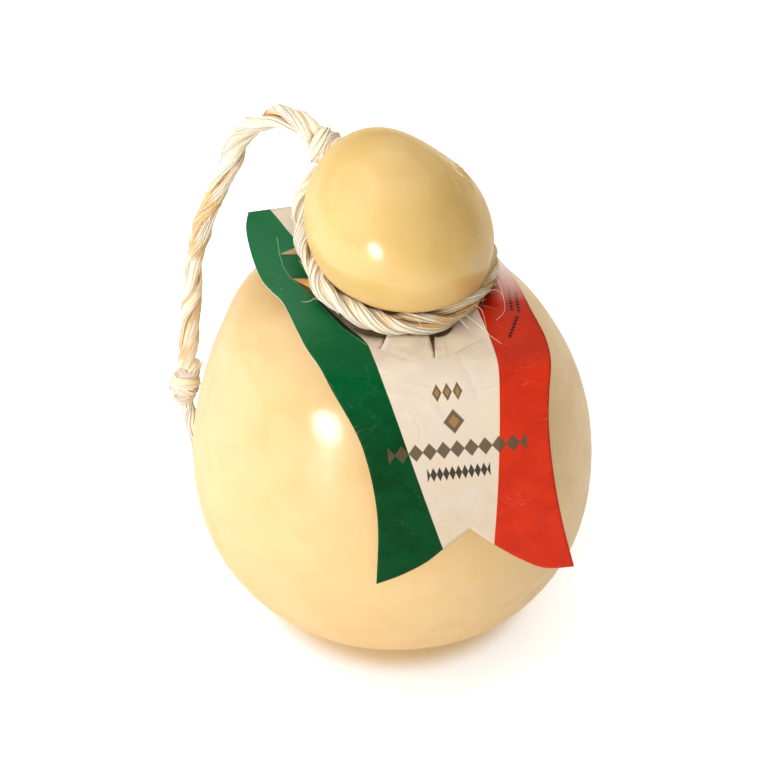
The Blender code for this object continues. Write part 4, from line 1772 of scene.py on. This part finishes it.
card_place = vector_node(tree, "MULTIPLY", {0: flat_uv, 1: (1.0, 1.0, 0.0)})
fade = use_group(tree, clouds, {"Place": card_place, "Scale": 95.0, "Detail": 6.0})["Mask"]
green_ink = mixed(tree, ramp(tree, down, *GREEN_DARKENS_V), CARD_GREEN, CARD_GREEN_LOW)
white_ink = mixed(tree, ramp(tree, down, *WHITE_DARKENS_V), CARD_WHITE, CARD_WHITE_LOW)
# Painted light: the white is brighter just below the collar.
above_front = ramp(tree, down, *WHITE_PAINTED_LIGHT_ENDS_V)
below_collar = ramp(tree, down, *WHITE_PAINTED_LIGHT_STARTS_V)
white_ink = mixed(tree, times(tree, above_front, below_collar), white_ink, CARD_WHITE_PAINTED_LIGHT)
white_tone = mixed(tree, fade, white_ink, CARD_WHITE_FADED, strength=0.60)
green_tone = mixed(tree, fade, green_ink, CARD_GREEN_FADED, strength=0.14)
red_tone = mixed(tree, fade, CARD_RED, CARD_RED_FADED, strength=0.55)
stripes = mixed(tree, past_green_mask, green_tone, white_tone)
stripes = mixed(tree, past_red_mask, stripes, red_tone)
print("card: inks")

# %% [markdown]
# The ornament stands in the middle: a short bronze row, one large bronze lozenge, a brown row
# across all three stripes and a smaller black row. Three fine rows lie on the red near the
# collar. Each row is the same group with its own size, and its rims are darker than its fill, as
# with metallic ink. A row is turned with the print.

# %% The ornament rows
INK_BRONZE = rgb(138, 100, 46)
INK_BROWN = rgb(80, 68, 50)
INK_BLACK = rgb(24, 22, 22)
INK_COVER = 0.93
FRONT_TURN = math.radians(-5.0)
SIDE_TURN = math.radians(-99.0)
LOW_SIDE_TURN = math.radians(-119.0)
ROWS = (
    # middle, turn, spacing, half width, half height, half length of the row, fill, rim
    ((1.3, 58.4, 0.0), FRONT_TURN, 3.4, 1.5, 3.0, 5.0, INK_BRONZE, INK_BROWN),
    ((1.7, 69.0, 0.0), FRONT_TURN, 9.0, 3.3, 4.2, 4.0, INK_BRONZE, INK_BROWN),
    ((1.2, 79.0, 0.0), FRONT_TURN, 4.6, 2.3, 3.0, 23.0, INK_BROWN, INK_BROWN),
    ((0.2, 87.6, 0.0), FRONT_TURN, 2.1, 1.05, 2.5, 10.5, INK_BLACK, INK_BLACK),
    ((31.6, 22.5, 0.0), SIDE_TURN, 1.5, 0.75, 0.8, 6.6, INK_BLACK, INK_BLACK),
    ((33.4, 25.0, 0.0), SIDE_TURN, 1.5, 0.75, 0.8, 5.8, INK_BLACK, INK_BLACK),
    ((28.9, 37.0, 0.0), LOW_SIDE_TURN, 1.5, 0.75, 0.8, 5.8, INK_BLACK, INK_BLACK),
)
colour = stripes
for middle, turn, spacing, half_width, half_height, half_length, fill_ink, rim_ink in ROWS:
    row = use_group(
        tree,
        lozenges,
        {
            "Place": flat_mm,
            "Middle": middle,
            "Turn": turn,
            "Spacing": spacing,
            "Half Width": half_width,
            "Half Height": half_height,
            "Half Length": half_length,
        },
    )
    ink = mixed(tree, row["Rim"], fill_ink, rim_ink)
    colour = mixed(tree, row["Mask"], colour, ink, strength=INK_COVER)
print("card:", len(ROWS), "rows of lozenges")

# %% [markdown]
# ## The card's wear and creases
# A label that hangs on a rope gets rubbed. Thin scratches and dust lie all over it, and the ink
# has cracked pale along the folds of the tabs. Grey lines also mark the creases across the white
# stripe where it bends. The first two come from noise, because their places don't matter, and the
# others from the line of wear and glint, because theirs do.

# %% Scratches, dust, cracked folds and creases
PAPER_PALE = rgb(214, 210, 196)
SCRATCH_STRENGTH = 0.10
DUST_STRENGTH = 0.25
CRACKED_INK = rgb(190, 208, 186)
CRACKED_FOLDS = folds[1:11]
CRACK_STRENGTH = 0.30
CRACK_WIDTH_MM = 0.28
CREASE_GREY = (0.36, 0.30, 0.23, 1.0)
CREASE_WIDTH_MM = 0.35
WHITE_CREASES = (
    # start and run in millimetres, strength
    ((6.8, 45.5), (10.8, -5.4), 0.45),
    ((5.1, 39.0), (-0.9, 8.1), 0.35),
    ((-12.0, 44.0), (6.5, 3.0), 0.25),
    ((3.0, 60.2), (14.0, -0.8), 0.20),
    ((-11.0, 52.5), (8.0, 3.4), 0.22),
    ((9.0, 48.5), (7.5, 2.0), 0.25),
)


def line_on_card(tree, start, run, width):
    """The mask of a line between flat places in millimetres."""
    inputs = {"Place": flat_mm, "Start": (*start, 0.0), "Run": (*run, 0.0), "Width": width}
    return use_group(tree, wear_and_glint_line, inputs)["Mask"]


worn = use_group(
    tree,
    scratches,
    {"Place": card_place, "Stretch": (1.0, 3.0, 1.0), "Scale": 130.0, "Width": 0.010, "Patches": 0.50},
)["Mask"]
dusty = use_group(tree, specks, {"Place": card_place, "Scale": 700.0, "Size": 0.16, "Share": 0.02})["Mask"]
scratched = times(tree, worn, SCRATCH_STRENGTH)
rubbed = math_node(tree, "ADD", scratched, times(tree, dusty, DUST_STRENGTH))
worn_colour = mixed(tree, rubbed, colour, PAPER_PALE)
for (start, *_), (end, *_) in zip(CRACKED_FOLDS, CRACKED_FOLDS[1:]):
    crack = line_on_card(tree, 1000.0 * start, 1000.0 * (end - start), CRACK_WIDTH_MM)
    worn_colour = mixed(tree, crack, worn_colour, CRACKED_INK, strength=CRACK_STRENGTH)
for start, run, strength in WHITE_CREASES:
    crease = line_on_card(tree, start, run, CREASE_WIDTH_MM)
    worn_colour = mixed(tree, crease, worn_colour, CREASE_GREY, strength=strength)
print("card: scratches, dust, cracks and creases")

# %% [markdown]
# The red turns pale pink at the corner of the collar: a painted reflection of the lamp behind in
# the level card. The green tabs that are folded down into the hollow of the neck are nearly black,
# a painted shade that is deeper than the lamps give there. So each point of the card carries a
# number that says how deep in the hollow it lies.

# %% The painted reflection on the corner and the painted shade on the tabs
GLARE_PINK = (1.0, 0.84, 0.83, 1.0)
GLARE_STRENGTH = 0.96
GLARE_ACROSS_U = (25.5, 31.5)
GLARE_ALONG_V = (25.0, 4.0)
TAB_PAINTED_SHADE = (0.006, 0.012, 0.006, 1.0)
TAB_PAINTED_SHADE_STRENGTH = 0.85

# Painted reflection: the red turns pale pink at the corner of the collar.
glare_across = ramp(tree, over, *GLARE_ACROSS_U)
glare_along = ramp(tree, down, *GLARE_ALONG_V)
glare_corner = times(tree, glare_across, glare_along)
worn_colour = mixed(tree, glare_corner, worn_colour, GLARE_PINK, strength=GLARE_STRENGTH)
# Painted shade: the folded green tabs darken with their depth in the hollow.
painted_hollow_mask = add_node(tree, "ShaderNodeAttribute", attribute_name="hollow").outputs["Fac"]
green_part = math_node(tree, "SUBTRACT", 1.0, past_green_mask)
green_painted_shade = times(tree, painted_hollow_mask, times(tree, green_part, TAB_PAINTED_SHADE_STRENGTH))
worn_colour = mixed(tree, green_painted_shade, worn_colour, TAB_PAINTED_SHADE)
tree.links.new(worn_colour, shader.inputs["Base Color"])
print("card: colour finished")

# %% [markdown]
# Printed card has a dull sheen, and on the level collar the light lies flat on it and shines. The
# card is soft as well, so it has fine ripples and, in patches, longer wrinkles. Both are too low
# to be worth a mesh, so they are a bump.

# %% The card's shine and wrinkles
COLLAR_SHINE_V = (34.0, 18.0)

collar_shine = ramp(tree, down, *COLLAR_SHINE_V, low=0.0, high=0.3)
tree.links.new(collar_shine, shader.inputs["Coat Weight"])
card_roughness = ramp(tree, fade, 0.0, 1.0, low=0.30, high=0.44)
tree.links.new(card_roughness, shader.inputs["Roughness"])
ripples = add_node(
    tree,
    "ShaderNodeTexNoise",
    {"Vector": card_place, "Scale": 260.0, "Detail": 4.0},
).outputs["Fac"]
wrinkles = use_group(
    tree,
    scratches,
    {"Place": card_place, "Stretch": (1.0, 1.5, 1.0), "Scale": 50.0, "Width": 0.040, "Patches": 0.36},
)["Mask"]
card_height = math_node(tree, "SUBTRACT", times(tree, ripples, 0.7), times(tree, wrinkles, 0.6))
card_bump = add_node(
    tree,
    "ShaderNodeBump",
    {"Strength": 0.55, "Distance": 0.0004, "Height": card_height},
)
tree.links.new(card_bump.outputs["Normal"], shader.inputs["Normal"])
set_finish(shader, {"Coat Roughness": 0.22, "Specular IOR Level": 0.06})
print("material:", printed.name)

# %% [markdown]
# The back of the card and its cut edges are bare: grey-white pulp, dull and faintly cloudy.

# %% Material: bare card
PULP_PALE = rgb(200, 188, 164)
PULP_DARK = rgb(184, 170, 146)

bare, tree, shader = new_material("bare_card")
pulp = use_group(tree, clouds, {"Place": object_place(tree), "Scale": 240.0, "Detail": 5.0})["Mask"]
tree.links.new(mixed(tree, pulp, PULP_PALE, PULP_DARK), shader.inputs["Base Color"])
set_finish(shader, {"Roughness": 0.75})
print("material:", bare.name)

# %% [markdown]
# The filled card gets its thickness from Solidify. The back and the cut edge take the second
# material, so a thin white line shows all round the print, as on real card.

# %% Build the card
card = add_piece("card_label", card_points, card_faces, [printed, bare])
flat_layer = card.data.uv_layers.new(name="flat")
for loop in card.data.loops:
    flat_layer.data[loop.index].uv = flat_points[loop.vertex_index]
# Each point's depth in the hollow sets its painted shade.
painted_shade_depths = card.data.attributes.new("hollow", "FLOAT", "POINT")
painted_shade_depths.data.foreach_set("value", [hollow_at(point) for point in flat_points])
faces_up = sum(polygon.normal.z for polygon in card.data.polygons)
if faces_up < 0.0:
    card.data.flip_normals()
solidify = card.modifiers.new("thickness", "SOLIDIFY")
solidify.thickness = CARD_THICKNESS
solidify.offset = -1.0
solidify.material_offset = 1
solidify.material_offset_rim = 1
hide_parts("label")

# %% [markdown]
# ## Loose fibres
# Raffia sheds fine hairs. A hair is a very thin tube on a short bent line, and a few hundred of
# them round the cord break its hard outline. The long ones are placed one by one where they curl
# over the card. The short ones start on the cord's surface at seeded random places.

# %% Material: a single fibre
HAIR_WHITE = rgb(255, 250, 238)
HAIR_STRAW = rgb(246, 226, 184)

hair_material, tree, shader = new_material("raffia_hair")
tone = use_group(tree, clouds, {"Place": object_place(tree), "Scale": 300.0, "Detail": 2.0})["Mask"]
tree.links.new(mixed(tree, tone, HAIR_WHITE, HAIR_STRAW), shader.inputs["Base Color"])
set_finish(shader, {"Roughness": 0.4})
print("material:", hair_material.name)


# %% A hair
HAIR_SIDES = 3


def add_hair(points, faces, line, radius):
    """A thin tapering tube with three sides, added to the given points and faces."""
    frames = turned_frames(line)
    first = len(points)
    for index, (point, (_, side, up)) in enumerate(zip(line, frames)):
        width = radius * (1.0 - 0.75 * index / (len(line) - 1))
        for step in range(HAIR_SIDES):
            angle = 2.0 * math.pi * step / HAIR_SIDES
            points.append(point + (side * math.cos(angle) + up * math.sin(angle)) * width)
    for ring_index in range(len(line) - 1):
        here = first + HAIR_SIDES * ring_index
        ahead = here + HAIR_SIDES
        for step in range(HAIR_SIDES):
            beside = (step + 1) % HAIR_SIDES
            faces.append((here + step, here + beside, ahead + beside, ahead + step))
    faces.append((first + 2, first + 1, first))
    last = first + HAIR_SIDES * (len(line) - 1)
    faces.append((last, last + 1, last + 2))


# %% Long hairs, each a route of a few points
HAIR_STEP = 0.0009
LONG_HAIR_RADIUS = 0.00011
SHORT_HAIR_RADIUS = 0.00008
LONG_HAIRS = (
    (
        (0.0228, -0.0290, 0.1521),
        (0.0262, -0.0335, 0.1520),
        (0.0305, -0.0385, 0.1505),
        (0.0340, -0.0408, 0.1490),
    ),
    ((0.0205, -0.0300, 0.1515), (0.0225, -0.0328, 0.1508), (0.0245, -0.0345, 0.1490)),
    (
        (0.0327, -0.0127, 0.1545),
        (0.0352, -0.0150, 0.1535),
        (0.0362, -0.0255, 0.1510),
        (0.0330, -0.0290, 0.1492),
    ),
    ((0.0063, -0.0336, 0.1552), (0.0075, -0.0352, 0.1540), (0.0085, -0.0362, 0.1508)),
    ((0.0300, -0.0200, 0.1540), (0.0335, -0.0215, 0.1560), (0.0358, -0.0228, 0.1545)),
    ((0.0255, -0.0255, 0.1540), (0.0280, -0.0300, 0.1545), (0.0292, -0.0345, 0.1510)),
    ((-0.0215, -0.0222, 0.1535), (-0.0245, -0.0195, 0.1525), (-0.0275, -0.0155, 0.1505)),
    ((-0.0250, -0.0180, 0.1535), (-0.0290, -0.0190, 0.1520), (-0.0315, -0.0170, 0.1505)),
)
hair_points = []
hair_faces = []
for route in LONG_HAIRS:
    add_hair(hair_points, hair_faces, evenly_along(route, HAIR_STEP), LONG_HAIR_RADIUS)
print(len(LONG_HAIRS), "long hairs")

# %% Short hairs
chance = random.Random(7)


def short_hairs(line, radius, count, longest):
    """Short hairs that leave a cord's surface and bend along it."""
    frames = turned_frames(line)
    for _ in range(count):
        index = chance.randrange(4, len(line) - 5)
        forward, side, up = frames[index]
        angle = chance.uniform(0.0, 2.0 * math.pi)
        out = side * math.cos(angle) + up * math.sin(angle)
        start = line[index] + out * radius * 0.8
        lean = forward * chance.choice((-1.0, 1.0))
        length = longest * chance.uniform(0.4, 1.0)
        bend = forward.cross(out) * chance.uniform(-0.5, 0.5)
        middle = start + out * length * 0.22 + lean * length * 0.45
        end = middle + out * length * chance.uniform(-0.05, 0.3) + (lean + bend) * length * 0.5
        hair = evenly_along((start, middle, end), HAIR_STEP)
        add_hair(hair_points, hair_faces, hair, SHORT_HAIR_RADIUS)


short_hairs(rope_line, radius=0.0038, count=130, longest=0.0055)
short_hairs(cord_line, radius=0.0032, count=260, longest=0.0042)
short_hairs(tail_line, radius=0.0026, count=40, longest=0.0050)
add_piece("raffia_hairs", hair_points, hair_faces, [hair_material])

# %% [markdown]
# ## The floor
# The cheese stands on a bright white table. A plain white floor would turn grey in soft light, so
# it also glows a little by itself. Close round the base it glows less and its colour is warmer: a
# painted shadow with painted yellow light, as the cheese shades the table and throws yellow light
# on it. That keeps a soft warm shadow.

# %% Floor
TABLE_WHITE = (0.87, 0.895, 0.94, 1.0)
# Painted shadow with painted yellow light from the cheese, close round the base.
TABLE_PAINTED_WARM_SHADOW = (0.85, 0.74, 0.56, 1.0)
GLOW_FAR = (0.40, 0.40, 0.40, 1.0)
GLOW_IN_PAINTED_SHADOW = (0.09, 0.06, 0.01, 1.0)
SHADOW_MIDDLE = (0.002, -0.001, 0.0)
SHADOW_REACH = (0.044, 0.056)
TABLE_SIDE = 8.0

floor_material, tree, shader = new_material("white_table")
from_base = vector_node(tree, "DISTANCE", {0: object_place(tree), 1: SHADOW_MIDDLE}, "Value")
past_shadow = ramp(tree, from_base, *SHADOW_REACH, soft=True)
table_colour = mixed(tree, past_shadow, TABLE_PAINTED_WARM_SHADOW, TABLE_WHITE)
glow_colour = mixed(tree, past_shadow, GLOW_IN_PAINTED_SHADOW, GLOW_FAR)
tree.links.new(table_colour, shader.inputs["Base Color"])
tree.links.new(glow_colour, shader.inputs["Emission Color"])
set_finish(shader, {"Roughness": 0.8, "Specular IOR Level": 0.1, "Emission Strength": 1.0})
bpy.ops.mesh.primitive_plane_add(size=TABLE_SIDE, location=(0.0, 0.0, 0.0))
floor = bpy.context.active_object
floor.name = "white_table"
floor.data.materials.append(floor_material)
floor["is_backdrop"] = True
print("floor is", round(floor.dimensions.x, 1), "m wide")

# %% [markdown]
# ## The lamps
# One round lamp stands low at the front left. It gives the head and the body one round spot each,
# and it is the only small lamp, because every other one would add spots of its own. The rest of
# the light is soft: a large lamp at the left, one above, a weak warm one behind that lights the
# edge of the head, and white surroundings that fill the shadows.


# %% Lamps
LAMPS_AIM = Vector((0.0, 0.0, 0.12))
ROOM_COLOUR = (1.0, 0.94, 0.80, 1.0)
ROOM_STRENGTH = 0.38


def add_lamp(name, azimuth, elevation, distance, size, power, colour):
    """A round soft lamp that is aimed at the cheese.

    Azimuth is counted from the front, in degrees, with the right at 90, and elevation from the
    table. Distance and size are in metres and power is in watts.
    """
    lamp_data = bpy.data.lights.new(name, "AREA")
    lamp_data.shape = "DISK"
    lamp_data.size = size
    lamp_data.energy = power
    lamp_data.color = colour
    lamp = bpy.data.objects.new(name, lamp_data)
    turn = math.radians(azimuth)
    rise = math.radians(elevation)
    away = Vector((math.sin(turn) * math.cos(rise), -math.cos(turn) * math.cos(rise), math.sin(rise)))
    lamp.location = LAMPS_AIM + away * distance
    lamp.rotation_euler = (-away).to_track_quat("-Z", "Y").to_euler()
    bpy.context.scene.collection.objects.link(lamp)
    print("lamp:", name, round(power, 1), "W")


add_lamp("key", -37.5, 9.4, distance=2.2, size=0.66, power=35.5, colour=(0.98, 0.98, 1.0))
add_lamp("left_box", -90.0, 36.0, distance=1.5, size=2.0, power=15.4, colour=(0.95, 0.94, 1.0))
add_lamp("top_box", 180.0, 80.0, distance=1.6, size=2.4, power=15.5, colour=(1.0, 0.99, 0.96))
add_lamp("back", 158.0, 40.0, distance=1.6, size=1.8, power=6.0, colour=(1.0, 0.92, 0.80))
world = bpy.data.worlds.new("white_room")
world.use_nodes = True
room = world.node_tree.nodes["Background"]
room.inputs["Color"].default_value = ROOM_COLOUR
room.inputs["Strength"].default_value = ROOM_STRENGTH
bpy.context.scene.world = world
bpy.context.scene.view_settings.view_transform = "Standard"
bpy.context.scene.view_settings.look = "None"

# %% [markdown]
# ## Measure
# The dressed cheese is measured, and its size is printed.

# %% Print the dressed size
low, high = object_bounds()
print("dressed size in mm:", [round(1000 * side, 1) for side in high - low])
